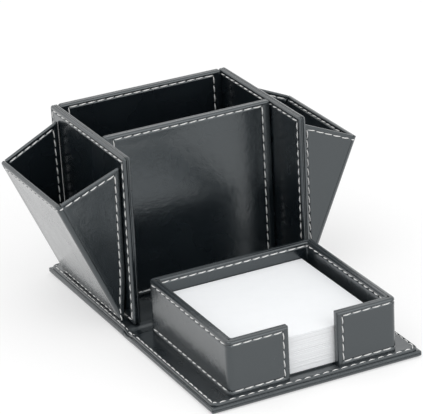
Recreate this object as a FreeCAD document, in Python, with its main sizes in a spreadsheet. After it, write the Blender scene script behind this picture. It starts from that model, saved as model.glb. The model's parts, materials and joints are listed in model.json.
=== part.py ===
"""Leather desk organizer with a fold-up memo tray, a pen box and two fold-in side pockets.

A rear plate carries the pen box and the side pockets. A flap in front of it carries the memo
tray, and a leather strip joins the two plates. The flap folds up through 90 degrees, so that the
tray goes into the recess between the side walls, and each pocket panel folds in to its side wall.

Units are millimetres. +X is to the right, +Y to the rear and +Z up. The origin is under the
centre of the opened organizer, on the surface that it stands on. Every panel is a greyboard
between two wrapped leather shells, and each of the three is a solid of its own.
"""
import FreeCAD, Part
import os
import re

from FreeCAD import Placement, Rotation, Vector

PARTS_FOLDER = "parts"
LEFT = "left"
RIGHT = "right"
SIDES = {LEFT: -1, RIGHT: 1}

# ---------------------------------------------------------------- driving dimensions
DRIVING = [
    # the two plates and the strip between them
    ("plate_width", 120.0),
    ("rear_plate_depth", 97.0),
    ("groove_width", 8.7),
    ("plate_shell_height", 3.2),
    ("plate_lining_thickness", 1.6),
    ("plate_lining_inset", 1.1),
    ("plate_lining_corner", 3.4),
    ("strip_clearance", 0.2),
    ("strip_thickness", 1.2),
    ("strip_end_inset", 1.0),
    # leather and its edges
    ("leather", 0.8),
    ("edge_round", 0.7),
    ("corner_round", 1.6),
    ("cut_overrun", 1.0),
    # pen box
    ("wall_height", 94.4),
    ("wall_thickness", 4.2),
    ("wall_shell", 2.6),
    ("wall_setback", 0.3),
    ("side_margin", 6.9),
    ("rear_margin", 3.5),
    ("panel_thickness", 4.4),
    ("panel_shell", 2.4),
    ("box_floor_thickness", 1.8),
    # memo tray
    ("tray_height", 29.8),
    ("tray_wall", 4.5),
    ("tray_rim_split", 2.6),
    ("tray_corner", 3.0),
    ("tray_front_margin", 4.0),
    ("tray_rear_margin", 0.6),
    ("tray_floor_thickness", 0.8),
    ("notch_width", 27.5),
    ("memo_height", 20.4),
    ("memo_side_clearance", 3.7),
    ("memo_end_clearance", 0.3),
    # side pockets
    ("pocket_panel_thickness", 2.8),
    ("pocket_panel_shell", 1.5),
    ("pocket_lean", 23.8),
    ("pocket_margin", 2.8),
    ("pocket_front_inset", 8.0),
    ("pocket_rear_inset", 10.6),
    ("pocket_hinge_gap", 0.3),
    ("pocket_strip_thickness", 0.8),
    ("gusset_thickness", 2.0),
    ("gusset_gap", 0.2),
    ("gusset_drop", 6.2),
    # closing clearances and magnets
    ("closing_gap", 0.4),
    ("flap_overhang", 0.2),
    ("tray_side_clearance", 0.8),
    ("tray_fold_clearance", 2.2),
    ("magnet_radius", 3.5),
    ("magnet_thickness", 1.5),
    ("magnet_top_distance", 9.0),
    ("keeper_depth", 8.0),
    ("keeper_height", 12.0),
    ("keeper_thickness", 1.6),
]

# ---------------------------------------------------------------- derived dimensions
DERIVED = [
    ("half_width", "plate_width / 2"),
    ("plate_top", "plate_shell_height + plate_lining_thickness"),
    ("wall_top", "plate_top + wall_height"),
    # the fold line runs at half the height of the strip, and the folded flap covers the walls' tops
    ("fold_z", "strip_clearance + strip_thickness / 2"),
    ("fold_from_walls", "closing_gap + plate_top - fold_z"),
    ("flap_depth", "wall_top + flap_overhang - fold_z + fold_from_walls - wall_setback - groove_width"),
    ("total_depth", "rear_plate_depth + groove_width + flap_depth"),
    ("rear_edge", "total_depth / 2"),
    ("flap_front", "-total_depth / 2"),
    ("flap_rear", "flap_front + flap_depth"),
    ("rear_plate_front", "flap_rear + groove_width"),
    # pen box, whose recess takes the folded tray
    ("wall_front", "rear_plate_front + wall_setback"),
    ("fold_y", "wall_front - fold_from_walls"),
    ("wall_rear", "rear_edge - rear_margin"),
    ("wall_outer", "half_width - side_margin"),
    ("wall_inner", "wall_outer - wall_thickness"),
    ("front_panel_front", "wall_front - closing_gap + tray_height + tray_fold_clearance"),
    ("front_panel_back", "front_panel_front + panel_thickness"),
    ("rear_panel_front", "wall_rear - panel_thickness"),
    # memo tray, which goes between the side walls
    ("tray_half_width", "wall_inner - tray_side_clearance"),
    ("tray_front", "flap_front + tray_front_margin"),
    ("tray_rear", "flap_rear - tray_rear_margin"),
    ("tray_top", "plate_top + tray_height"),
    ("tray_inner_half", "tray_half_width - tray_wall"),
    ("tray_inner_front", "tray_front + tray_wall"),
    ("tray_inner_rear", "tray_rear - tray_wall"),
    ("tray_board_height", "tray_height - leather"),
    ("notch_half", "notch_width / 2"),
    ("notch_board_half", "notch_half + leather"),
    ("memo_bottom", "plate_top + tray_floor_thickness"),
    # side pockets
    ("pocket_front", "wall_front + pocket_front_inset"),
    ("pocket_rear", "wall_rear - pocket_rear_inset"),
    ("pocket_strip_top", "plate_top + pocket_strip_thickness"),
    ("pocket_hinge_x", "half_width - pocket_margin"),
    ("pocket_hinge_z", "pocket_strip_top + pocket_hinge_gap"),
    # the gussets' upper edges meet the side wall below its top, square to the leaning panel
    ("hinge_from_wall", "pocket_hinge_x - wall_outer"),
    ("gusset_rise", "wall_top - gusset_drop - pocket_hinge_z - hinge_from_wall * tan(pocket_lean)"),
    ("pocket_panel_length", "gusset_rise * cos(pocket_lean)"),
    # magnets in the flap meet steel keepers in the front edges of the side walls
    ("wall_middle", "wall_outer - wall_thickness / 2"),
    ("magnet_y", "flap_front + magnet_top_distance"),
    ("magnet_z", "plate_shell_height - magnet_thickness"),
    ("keeper_middle_z", "fold_z + fold_y - magnet_y"),
]

doc = FreeCAD.newDocument("desk_organizer")
sizes = doc.addObject("Spreadsheet::Sheet", "sizes")


def fill_sheet():
    """Write every driving and derived dimension to the sheet, one to a row."""
    rows = [(alias, str(value)) for alias, value in DRIVING]
    rows += [(alias, "=" + formula) for alias, formula in DERIVED]
    for number, (alias, content) in enumerate(rows, start=1):
        sizes.set(f"A{number}", alias)
        sizes.set(f"B{number}", content)
        sizes.setAlias(f"B{number}", alias)
    doc.recompute()


def size(alias):
    """The present value of a cell."""
    return float(getattr(sizes, alias))


ALIASES = {alias for alias, _ in DRIVING + DERIVED}


def cell(expression):
    """The expression with every alias written as a cell of the sheet."""
    named = lambda match: f"sizes.{match[0]}" if match[0] in ALIASES else match[0]
    return re.sub("[a-z_]+", named, expression)


# ---------------------------------------------------------------- building blocks
class Block:
    """A box given by its lowest and highest corner, each an expression of the sheet."""

    def __init__(self, x, y, z):
        """Each of x, y and z is a pair of expressions, lowest first."""
        self.ranges = (x, y, z)

    def bind(self, box):
        """Bind a FreeCAD box to this block."""
        for axis, side, (low, high) in zip("xyz", ("Length", "Width", "Height"), self.ranges):
            box.setExpression(side, cell(f"( {high} ) - ( {low} )"))
            box.setExpression(f"Placement.Base.{axis}", cell(low))

    def inset(self, distance, open_side=None):
        """This block made smaller all round, and longer by the overrun at its open side."""
        smaller = []
        for axis, (low, high) in zip("xyz", self.ranges):
            new_low = f"{low} - cut_overrun" if open_side == "-" + axis else f"{low} + {distance}"
            new_high = f"{high} + cut_overrun" if open_side == "+" + axis else f"{high} - {distance}"
            smaller.append((new_low, new_high))
        return Block(*smaller)

    def trimmed(self, axis, low=None, high=None):
        """This block with one or both of an axis's limits replaced."""
        ranges = list(self.ranges)
        index = "xyz".index(axis)
        old_low, old_high = ranges[index]
        ranges[index] = (low or old_low, high or old_high)
        return Block(*ranges)


def mirrored(side, near, far):
    """A range along X on one side, from its distance to the middle plane to a further one."""
    if SIDES[side] > 0:
        return (near, far)
    return (f"-( {far} )", f"-( {near} )")


def part_box(name, block):
    """A Part box bound to a block."""
    box = doc.addObject("Part::Box", name)
    block.bind(box)
    return box


def plain_slab(name, block):
    """A body with one box in it, which can be leaned as a whole."""
    body = doc.addObject("PartDesign::Body", name)
    block.bind(body.newObject("PartDesign::AdditiveBox", f"{name}_slab"))
    return body


def cut(name, base, *tools):
    """One object cut by others, in turn."""
    for number, tool in enumerate(tools, start=1):
        result = doc.addObject("Part::Cut", name if number == len(tools) else f"{name}_cut_{number}")
        result.Base = base
        result.Tool = tool
        base = result
    return base


def common(name, first, second):
    """What two objects share."""
    result = doc.addObject("Part::Common", name)
    result.Base = first
    result.Tool = second
    return result


def edge_names(shape, test):
    """The names of the edges that pass a test, as a fillet takes them."""
    return [f"Edge{number}" for number, edge in enumerate(shape.Edges, start=1) if test(edge)]


def along(axis):
    """A test for straight edges that run along an axis."""
    direction = dict(x=Vector(1, 0, 0), y=Vector(0, 1, 0), z=Vector(0, 0, 1))[axis]

    def test(edge):
        ends = edge.Vertexes
        if len(ends) != 2:
            return False
        run = ends[1].Point.sub(ends[0].Point)
        return run.Length > 0 and abs(abs(run.dot(direction)) - run.Length) < 1e-7

    return test


def on_plane(axis, position):
    """A test for edges that lie in a plane across an axis."""
    return lambda edge: all(abs(getattr(end.Point, axis) - position) < 1e-6 for end in edge.Vertexes)


def round_edges(body, feature, test, radius):
    """A fillet on the edges that pass a test, bound to a cell."""
    doc.recompute()
    fillet = body.newObject("PartDesign::Fillet", f"{body.Name}_round")
    fillet.Base = (feature, edge_names(feature.Shape, test))
    fillet.setExpression("Radius", cell(radius))
    return fillet


def shell_half(name, block, open_side, corner="corner_round", edge="edge_round"):
    """A wrapped leather shell: a slab with rounded corners, hollow from its open side."""
    axis = open_side[1]
    closed_end = 0 if open_side[0] == "+" else 1
    body = doc.addObject("PartDesign::Body", name)
    slab = body.newObject("PartDesign::AdditiveBox", f"{name}_slab")
    block.bind(slab)
    rounded = round_edges(body, slab, along(axis), corner)
    doc.recompute()
    bounds = slab.Shape.BoundBox
    limits = dict(x=(bounds.XMin, bounds.XMax), y=(bounds.YMin, bounds.YMax), z=(bounds.ZMin, bounds.ZMax))
    round_edges(body, rounded, on_plane(axis, limits[axis][closed_end]), edge)
    hollow = body.newObject("PartDesign::SubtractiveBox", f"{name}_hollow")
    block.inset("leather", open_side).bind(hollow)
    return body


def rounded_sheet(name, block, corner, edge, face):
    """A solid sheet with rounded corners and one rounded upper or lower outline."""
    body = doc.addObject("PartDesign::Body", name)
    slab = body.newObject("PartDesign::AdditiveBox", f"{name}_slab")
    block.bind(slab)
    rounded = round_edges(body, slab, along("z"), corner)
    doc.recompute()
    bounds = slab.Shape.BoundBox
    level = bounds.ZMax if face == "+z" else bounds.ZMin
    round_edges(body, rounded, on_plane("z", level), edge)
    return body


def wrapped_panel(name, block, axis, outer_sign, shell, shell_names):
    """A board between an outer and an inner leather shell, which meet at the given depth."""
    low, high = block.ranges["xyz".index(axis)]
    if outer_sign > 0:
        meeting = f"{high} - {shell}"
        outer_block = block.trimmed(axis, low=meeting)
        inner_block = block.trimmed(axis, high=meeting)
        outer_open, inner_open = "-" + axis, "+" + axis
    else:
        meeting = f"{low} + {shell}"
        outer_block = block.trimmed(axis, high=meeting)
        inner_block = block.trimmed(axis, low=meeting)
        outer_open, inner_open = "+" + axis, "-" + axis
    outer = shell_half(f"{name}_{shell_names[0]}", outer_block, outer_open)
    inner = shell_half(f"{name}_{shell_names[1]}", inner_block, inner_open)
    board = plain_slab(f"{name}_board", block.inset("leather"))
    return outer, inner, board


# ---------------------------------------------------------------- plates
def plate(name, front, rear):
    """A plate: a wrapped lower shell with its board, and the lining sheet on top."""
    outline = Block(("-half_width", "half_width"), (front, rear), ("0", "plate_shell_height"))
    shell = shell_half(f"{name}_cover", outline, "+z")
    board_block = outline.inset("leather").trimmed("z", high="plate_shell_height")
    board = part_box(f"{name}_board", board_block)
    inset = outline.inset("plate_lining_inset")
    sheet_block = inset.trimmed("z", low="plate_shell_height", high="plate_top")
    lining = rounded_sheet(f"{name}_lining", sheet_block, "plate_lining_corner", "edge_round", "+z")
    return shell, board, lining


def rear_plate():
    """The plate under the pen box."""
    return list(plate("rear_plate", "rear_plate_front", "rear_edge"))


def flap():
    """The plate under the memo tray, with two closing magnets let into its board."""
    cover, board, lining = plate("flap", "flap_front", "flap_rear")
    board.Label = "flap_board_blank"
    discs = []
    for side in SIDES:
        disc = doc.addObject("Part::Cylinder", f"{side}_magnet")
        disc.setExpression("Radius", cell("magnet_radius"))
        disc.setExpression("Height", cell("magnet_thickness"))
        disc.setExpression("Placement.Base.x", cell(f"{SIDES[side]} * wall_middle"))
        disc.setExpression("Placement.Base.y", cell("magnet_y"))
        disc.setExpression("Placement.Base.z", cell("magnet_z"))
        discs.append(disc)
    magnets = doc.addObject("Part::Compound", "flap_magnets")
    magnets.Links = discs
    drilled = cut("flap_board_drilled", board, *discs)
    drilled.Label = "flap_board"
    return [cover, drilled, lining, magnets]


def fold_hinge_strip():
    """The leather strip that joins the two plates along the fold."""
    across = ("-half_width + strip_end_inset", "half_width - strip_end_inset")
    height = ("strip_clearance", "strip_clearance + strip_thickness")
    return [part_box("fold_hinge_strip", Block(across, ("flap_rear", "rear_plate_front"), height))]


# ---------------------------------------------------------------- pen box
def side_wall(side):
    """A side wall, from the front of the recess to the rear of the pen box."""
    block = Block(
        mirrored(side, "wall_inner", "wall_outer"),
        ("wall_front", "wall_rear"),
        ("plate_top", "wall_top"),
    )
    names = ("outer_cover", "inner_cover")
    outer, inner, board = wrapped_panel(f"{side}_wall", block, "x", SIDES[side], "wall_shell", names)
    board.Label = f"{side}_wall_board_blank"
    keeper = part_box(
        f"{side}_keeper",
        Block(
            mirrored(side, "wall_middle - keeper_thickness / 2", "wall_middle + keeper_thickness / 2"),
            ("wall_front + leather", "wall_front + leather + keeper_depth"),
            ("keeper_middle_z - keeper_height / 2", "keeper_middle_z + keeper_height / 2"),
        ),
    )
    slotted = cut(f"{side}_wall_board_slotted", board, keeper)
    slotted.Label = f"{side}_wall_board"
    return [outer, inner, slotted], keeper


def side_walls():
    """Both side walls, and the steel keepers in their front edges."""
    pieces = []
    keepers = []
    for side in SIDES:
        wall, keeper = side_wall(side)
        pieces += wall
        keepers.append(keeper)
    group = doc.addObject("Part::Compound", "wall_keepers")
    group.Links = keepers
    return pieces + [group]


def cross_panel(name, front, rear, outer_sign):
    """A panel that stands between the side walls."""
    block = Block(("-wall_inner", "wall_inner"), (front, rear), ("plate_top", "wall_top"))
    return list(wrapped_panel(name, block, "y", outer_sign, "panel_shell", ("cover", "lining")))


def pen_box():
    """The front and rear panels and the floor between them."""
    pieces = cross_panel("front_panel", "front_panel_front", "front_panel_back", -1)
    pieces += cross_panel("rear_panel", "rear_panel_front", "wall_rear", 1)
    floor = Block(
        ("-wall_inner", "wall_inner"),
        ("front_panel_back", "rear_panel_front"),
        ("plate_top", "plate_top + box_floor_thickness"),
    )
    return pieces + [part_box("pen_box_floor", floor)]


# ---------------------------------------------------------------- memo tray
def tray_block(inset, z):
    """The tray's outline moved in by a distance, over a range of heights."""
    return Block(
        (f"-( tray_half_width - {inset} )", f"tray_half_width - {inset}"),
        (f"tray_front + {inset}", f"tray_rear - {inset}"),
        z,
    )


def rounded_tray_block(name, inset, z, corner):
    """The tray's outline with rounded upright corners, as a Part fillet on a box."""
    box = part_box(f"{name}_box", tray_block(inset, z))
    doc.recompute()
    rounded = doc.addObject("Part::Fillet", name)
    rounded.Base = box
    radius = size(corner) - (size(inset) if inset in ALIASES else 0)
    numbers = [int(edge[len("Edge"):]) for edge in edge_names(box.Shape, along("z"))]
    rounded.Edges = [(number, radius, radius) for number in numbers]
    return rounded


def inside_of_boards(z):
    """The space that the tray's boards enclose, over a range of heights."""
    return Block(
        ("-( tray_inner_half + leather )", "tray_inner_half + leather"),
        ("tray_inner_front - leather", "tray_inner_rear + leather"),
        z,
    )


def front_gap(name, half, z):
    """A block that takes the finger notch out of the tray's front wall."""
    low = "tray_front - cut_overrun"
    high = "tray_inner_front + cut_overrun"
    return part_box(name, Block((f"-( {half} )", half), (low, high), z))


def tray_boards():
    """The five boards in the tray's walls, cut from one ring."""
    height = ("plate_top", "plate_top + tray_board_height")
    tall = ("plate_top - cut_overrun", "tray_top + cut_overrun")
    outline = rounded_tray_block("tray_board_outline", "leather", height, "tray_corner")
    inside = part_box("tray_board_inside", inside_of_boards(tall))
    ring = cut("tray_board_ring", outline, inside, front_gap("tray_board_gap", "notch_board_half", tall))
    board_x = "tray_inner_half + leather"
    long_y = ("tray_front", "tray_rear")
    front_y = ("tray_front", "tray_inner_front - leather")
    windows = {
        "tray_left_board": Block(("-tray_half_width", f"-( {board_x} )"), long_y, tall),
        "tray_right_board": Block((board_x, "tray_half_width"), long_y, tall),
        "tray_back_board": Block(
            (f"-( {board_x} )", board_x), ("tray_inner_rear + leather", "tray_rear"), tall
        ),
        "tray_front_left_board": Block((f"-( {board_x} )", "0"), front_y, tall),
        "tray_front_right_board": Block(("0", board_x), front_y, tall),
    }
    boards = []
    for name, block in windows.items():
        boards.append(common(name, ring, part_box(f"{name}_window", block)))
    return boards


def tray_cover():
    """The leather round the outside of the tray, over the rim and round the notch's ends."""
    tall = ("plate_top - cut_overrun", "tray_top + cut_overrun")
    body = doc.addObject("PartDesign::Body", "tray_cover_outline")
    slab = body.newObject("PartDesign::AdditiveBox", "tray_cover_slab")
    tray_block("0", ("plate_top", "tray_top")).bind(slab)
    rounded = round_edges(body, slab, along("z"), "tray_corner")
    round_edges(body, rounded, on_plane("z", size("tray_top")), "edge_round")
    low = ("plate_top - cut_overrun", "plate_top + tray_board_height")
    board_space = rounded_tray_block("tray_board_space", "leather", low, "tray_corner")
    ends = front_gap("tray_cover_ends", "notch_board_half", tall)
    board_hollow = cut("tray_board_hollow", board_space, ends)
    inside = part_box("tray_cover_inside", tray_block("tray_wall", tall))
    rim = part_box("tray_cover_rim", tray_block("tray_rim_split", tall))
    rim_hollow = cut("tray_rim_hollow", rim, front_gap("tray_rim_ends", "notch_board_half", tall))
    notch = front_gap("tray_cover_notch", "notch_half", tall)
    return [cut("tray_cover", body, board_hollow, rim_hollow, inside, notch)]


def tray_lining():
    """The leather on the inside of the tray, and the inner half of its rim."""
    tall = ("plate_top - cut_overrun", "tray_top + cut_overrun")
    outline = part_box("tray_lining_outline", tray_block("tray_rim_split", ("plate_top", "tray_top")))
    low = ("plate_top - cut_overrun", "plate_top + tray_board_height")
    board_x = ("-tray_half_width", "tray_half_width")
    board_y = ("tray_front", "tray_rear")
    around = part_box("tray_lining_around", Block(board_x, board_y, low))
    keep = part_box("tray_lining_keep", inside_of_boards(tall))
    behind = cut("tray_lining_boards", around, keep)
    inside = part_box("tray_lining_inside", tray_block("tray_wall", tall))
    gap = front_gap("tray_lining_gap", "notch_board_half", tall)
    return [cut("tray_lining", outline, behind, inside, gap)]


def tray_floor():
    """The lined board that the paper lies on."""
    block = tray_block("tray_wall", ("plate_top", "memo_bottom"))
    return [part_box("tray_floor", block)]


def memo_paper_block():
    """The block of square memo sheets."""
    across = "tray_inner_half - memo_side_clearance"
    block = Block(
        (f"-( {across} )", across),
        ("tray_inner_front + memo_end_clearance", "tray_inner_rear - memo_end_clearance"),
        ("memo_bottom", "memo_bottom + memo_height"),
    )
    return [part_box("memo_paper_block", block)]


# ---------------------------------------------------------------- side pockets
def lean_rotation(side):
    """The turn about Y that leans a pocket outwards, before its angle is bound."""
    return Rotation(Vector(0, SIDES[side], 0), 1)


def lean(piece, side):
    """Put a piece that was built upright at the pocket's hinge, leaning outwards."""
    piece.Placement = Placement(Vector(0, 0, 0), lean_rotation(side))
    piece.setExpression("Placement.Base.x", cell(f"{SIDES[side]} * pocket_hinge_x"))
    piece.setExpression("Placement.Base.z", cell("pocket_hinge_z"))
    piece.setExpression("Placement.Rotation.Angle", cell("pocket_lean"))


def pocket_panel(side):
    """The outer panel of a pocket, whose outer lower edge is its hinge."""
    inward = ("-pocket_panel_thickness", "0") if SIDES[side] > 0 else ("0", "pocket_panel_thickness")
    block = Block(inward, ("pocket_front", "pocket_rear"), ("0", "pocket_panel_length"))
    names = ("cover", "lining")
    panel = f"{side}_pocket"
    pieces = list(wrapped_panel(panel, block, "x", SIDES[side], "pocket_panel_shell", names))
    for piece in pieces:
        lean(piece, side)
    return pieces


def gusset(side, end):
    """A triangular gusset between the side wall and the pocket's leaning panel."""
    name = f"{side}_pocket_{end}_gusset"
    if end == "front":
        depth = ("pocket_front", "pocket_front + gusset_thickness")
    else:
        depth = ("pocket_rear - gusset_thickness", "pocket_rear")
    beside_panel = "pocket_panel_thickness + gusset_gap"
    inward = mirrored(side, "-pocket_panel_length", f"-( {beside_panel} )")
    leaning_block = Block(inward, depth, ("-pocket_panel_thickness", "pocket_panel_length"))
    body = plain_slab(f"{name}_leaning", leaning_block)
    lean(body, side)
    window = Block(
        mirrored(side, "wall_outer", "wall_outer + pocket_panel_length"),
        ("pocket_front - cut_overrun", "pocket_rear + cut_overrun"),
        ("pocket_strip_top", "pocket_strip_top + 2 * pocket_panel_length"),
    )
    return common(name, body, part_box(f"{name}_window", window))


def pocket(side):
    """A side pocket: its panel, its two gussets and the strip that it is hinged to."""
    strip = Block(
        mirrored(side, "wall_outer", "pocket_hinge_x"),
        ("pocket_front", "pocket_rear"),
        ("plate_top", "pocket_strip_top"),
    )
    pieces = pocket_panel(side)
    pieces += [gusset(side, "front"), gusset(side, "rear")]
    return pieces + [part_box(f"{side}_pocket_floor_strip", strip)]


# ---------------------------------------------------------------- document
def check_document():
    """Stop if any object of the document failed."""
    for item in doc.Objects:
        if "Invalid" in item.State or "Error" in item.State:
            raise RuntimeError(f"{item.Label} is {item.State}")


def check_piece(piece):
    """Stop if a piece has no valid solid."""
    shape = piece.Shape
    if shape.isNull() or not shape.isValid() or not shape.Solids:
        raise RuntimeError(f"{piece.Label} has no valid solid")


def main():
    """Build every piece, check them all and write them."""
    fill_sheet()
    pieces = rear_plate() + flap() + fold_hinge_strip()
    pieces += side_walls() + pen_box()
    pieces += tray_boards() + tray_cover() + tray_lining() + tray_floor() + memo_paper_block()
    pieces += pocket(LEFT) + pocket(RIGHT)
    doc.recompute()
    check_document()
    for piece in pieces:
        check_piece(piece)
    os.makedirs(PARTS_FOLDER, exist_ok=True)
    for piece in pieces:
        piece.Shape.exportStep(os.path.join(PARTS_FOLDER, f"{piece.Label}.step"))
        print(f"{piece.Label}: {piece.Shape.Volume:.1f} mm3 in {len(piece.Shape.Solids)} solid")
    print(f"fold line at y {size('fold_y'):.3f}, z {size('fold_z'):.3f}")
    print(f"pocket hinges at x {size('pocket_hinge_x'):.3f}, z {size('pocket_hinge_z'):.3f}")


main()
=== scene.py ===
"""Looks of a folding leather desk organizer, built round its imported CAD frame.

The leather of every plate, wall, panel, gusset and tray wall is a skin of its own, in place of
the frame's node: a closed sheet with a rolled edge, a sewn groove with a dimple at every needle
hole and, in the thicker ones, a hollow for the greyboard. The stitches lie in those grooves, and
a Geometry Nodes tree makes them from the holes. Sizes here are in millimetres unless a comment
says metres, and a mesh turns them into metres as it is made. The scale of a texture is in cells
to a metre. +X is to the right, +Y to the rear and +Z up, as in the frame.
"""
import json
import logging
import math
import random
from dataclasses import dataclass, field, replace
from enum import Enum
from typing import Callable, Iterable, Sequence

import bmesh
import bpy
from mathutils import Matrix, Vector


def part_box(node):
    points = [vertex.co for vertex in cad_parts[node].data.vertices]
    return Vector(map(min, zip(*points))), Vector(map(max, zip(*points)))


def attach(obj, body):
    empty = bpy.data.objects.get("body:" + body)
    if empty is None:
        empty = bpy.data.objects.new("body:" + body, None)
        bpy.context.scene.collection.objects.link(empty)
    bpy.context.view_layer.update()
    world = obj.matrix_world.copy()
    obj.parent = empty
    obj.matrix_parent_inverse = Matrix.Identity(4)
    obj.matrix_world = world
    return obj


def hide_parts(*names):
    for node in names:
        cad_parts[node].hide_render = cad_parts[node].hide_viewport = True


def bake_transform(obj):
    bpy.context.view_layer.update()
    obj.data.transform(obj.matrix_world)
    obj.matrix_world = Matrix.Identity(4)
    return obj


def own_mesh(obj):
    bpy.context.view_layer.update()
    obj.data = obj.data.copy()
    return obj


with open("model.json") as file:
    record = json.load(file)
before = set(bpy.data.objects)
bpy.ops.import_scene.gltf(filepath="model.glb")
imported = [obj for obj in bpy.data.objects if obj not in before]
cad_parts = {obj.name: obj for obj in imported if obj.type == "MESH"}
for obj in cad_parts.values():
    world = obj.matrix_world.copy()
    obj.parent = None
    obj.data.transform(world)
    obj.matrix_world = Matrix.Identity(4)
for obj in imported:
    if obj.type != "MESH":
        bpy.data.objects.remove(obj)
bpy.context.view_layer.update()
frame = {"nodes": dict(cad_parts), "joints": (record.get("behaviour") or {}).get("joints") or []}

MM = 0.001
IMAGE_WIDTH = 423
PITCH = 5.4  # a stitch with its gap
LEATHER = 0.8  # the thickness of one layer
TOUCH = 1e-6  # two places closer than this are one
FOOT_ANGLES = (0.0, 45.0, 90.0)
EDGE_ANGLES = (0.0, 18.0, 36.0, 54.0, 72.0, 90.0)
GROOVE_SHARES = (-1.0, -0.6, -0.3, 0.0, 0.3, 0.6, 1.0)  # of half a groove, from its middle
BANK_SHARE = 1.8  # of half a groove, where its bank ends
FIELD_STEP = 0.5  # from where the leather has come down to its last ring
X_AXIS = Vector((1, 0, 0))
Y_AXIS = Vector((0, 1, 0))
Z_AXIS = Vector((0, 0, 1))
WHITE = (1.0, 1.0, 1.0, 1.0)

Color = tuple[float, float, float]
Socket = bpy.types.NodeSocket

log = logging.getLogger("organizer")


# ---------------------------------------------------------------- choices
class Place(Enum):
    """A named side or end. The value is the sign of its coordinate."""

    @property
    def word(self) -> str:
        """The place's name, as the nodes have it."""
        return self.name.lower()


class Side(Place):
    """Left or right of the middle plane, by the sign of X."""

    LEFT = -1
    RIGHT = 1


class End(Place):
    """Front or rear, by the sign of Y."""

    FRONT = -1
    REAR = 1


class Back(Enum):
    """What a skin has behind its face."""

    FLAT = "a flat back"
    HOLLOW = "a hollow behind one layer of leather"
    FACE = "a back like its face"


class Body(Enum):
    """The bodies of the frame."""

    STAND = "rear_stand"
    FLAP = "flap"
    MEMO = "memo_block"
    LEFT_POCKET = "left_pocket"
    RIGHT_POCKET = "right_pocket"


class Slot(Enum):
    """The material slots of the record."""

    COVER = "cover_leather"
    LINING = "lining_leather"
    BOARD = "greyboard"
    PAPER = "memo_paper"
    STEEL = "plated_steel"


# ---------------------------------------------------------------- places
@dataclass(frozen=True)
class Plane:
    """A flat face: its own origin, and two unit vectors in it."""

    origin: Vector
    across: Vector
    up: Vector

    @property
    def normal(self) -> Vector:
        """The direction out of the face."""
        return self.across.cross(self.up)

    def at(self, place: Vector, height: float = 0.0) -> Vector:
        """A point by its place in the plane and its height over it."""
        return self.origin + place.x * self.across + place.y * self.up + height * self.normal


@dataclass(frozen=True)
class Span:
    """A box in millimetres."""

    low: Vector
    high: Vector

    @classmethod
    def of(cls, node: str) -> "Span":
        """The box at rest of a node of the frame."""
        return cls(*(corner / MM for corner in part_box(node)))

    @property
    def size(self) -> Vector:
        """The box's size along each axis."""
        return self.high - self.low

    def ends(self, axis: int, sign: float = 1.0) -> list[float]:
        """The box's ends along an axis, or against it, in rising order."""
        return sorted((self.low[axis] * sign, self.high[axis] * sign))

    def face(self, axis: int, sign: int) -> float:
        """The level of the box's face that looks up or down an axis."""
        return (self.high if sign > 0 else self.low)[axis]

    def upright(self, axis: int, sign: int) -> Plane:
        """The box's upright face that looks along X or Y.

        Args:
            axis: 0 for X, 1 for Y.
            sign: 1 for up that axis, -1 for down it.

        Returns:
            The face, with its origin on the axis.
        """
        origin = Vector((0, 0, 0))
        origin[axis] = self.face(axis, sign)
        return Plane(origin, X_AXIS * -sign if axis else Y_AXIS * sign, Z_AXIS)


def smooth_step(value: float) -> float:
    """Zero below 0, one above 1, and a smooth rise between them."""
    value = min(1.0, max(0.0, value))
    return value * value * (3.0 - 2.0 * value)


def stitch_count(length: float) -> int:
    """How many stitches fill a length."""
    return max(1, round(length / PITCH))


def left_of(way: Vector) -> Vector:
    """A flat direction turned a quarter to its left."""
    return Vector((-way.y, way.x))


def quarter_round(radius: float, angles: Sequence[float]) -> list[tuple[float, float]]:
    """How far in from its side and down from its top each point of a quarter round lies."""
    turns = [math.radians(angle) for angle in angles]
    return [(radius * (1.0 - math.cos(turn)), radius * (1.0 - math.sin(turn))) for turn in turns]


# ---------------------------------------------------------------- leather edges
@dataclass(frozen=True)
class Station:
    """A point of an edge's cross-section. A needle hole there is deeper by the dimple."""

    distance: float
    rise: float
    dimple: float = 0.0


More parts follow.
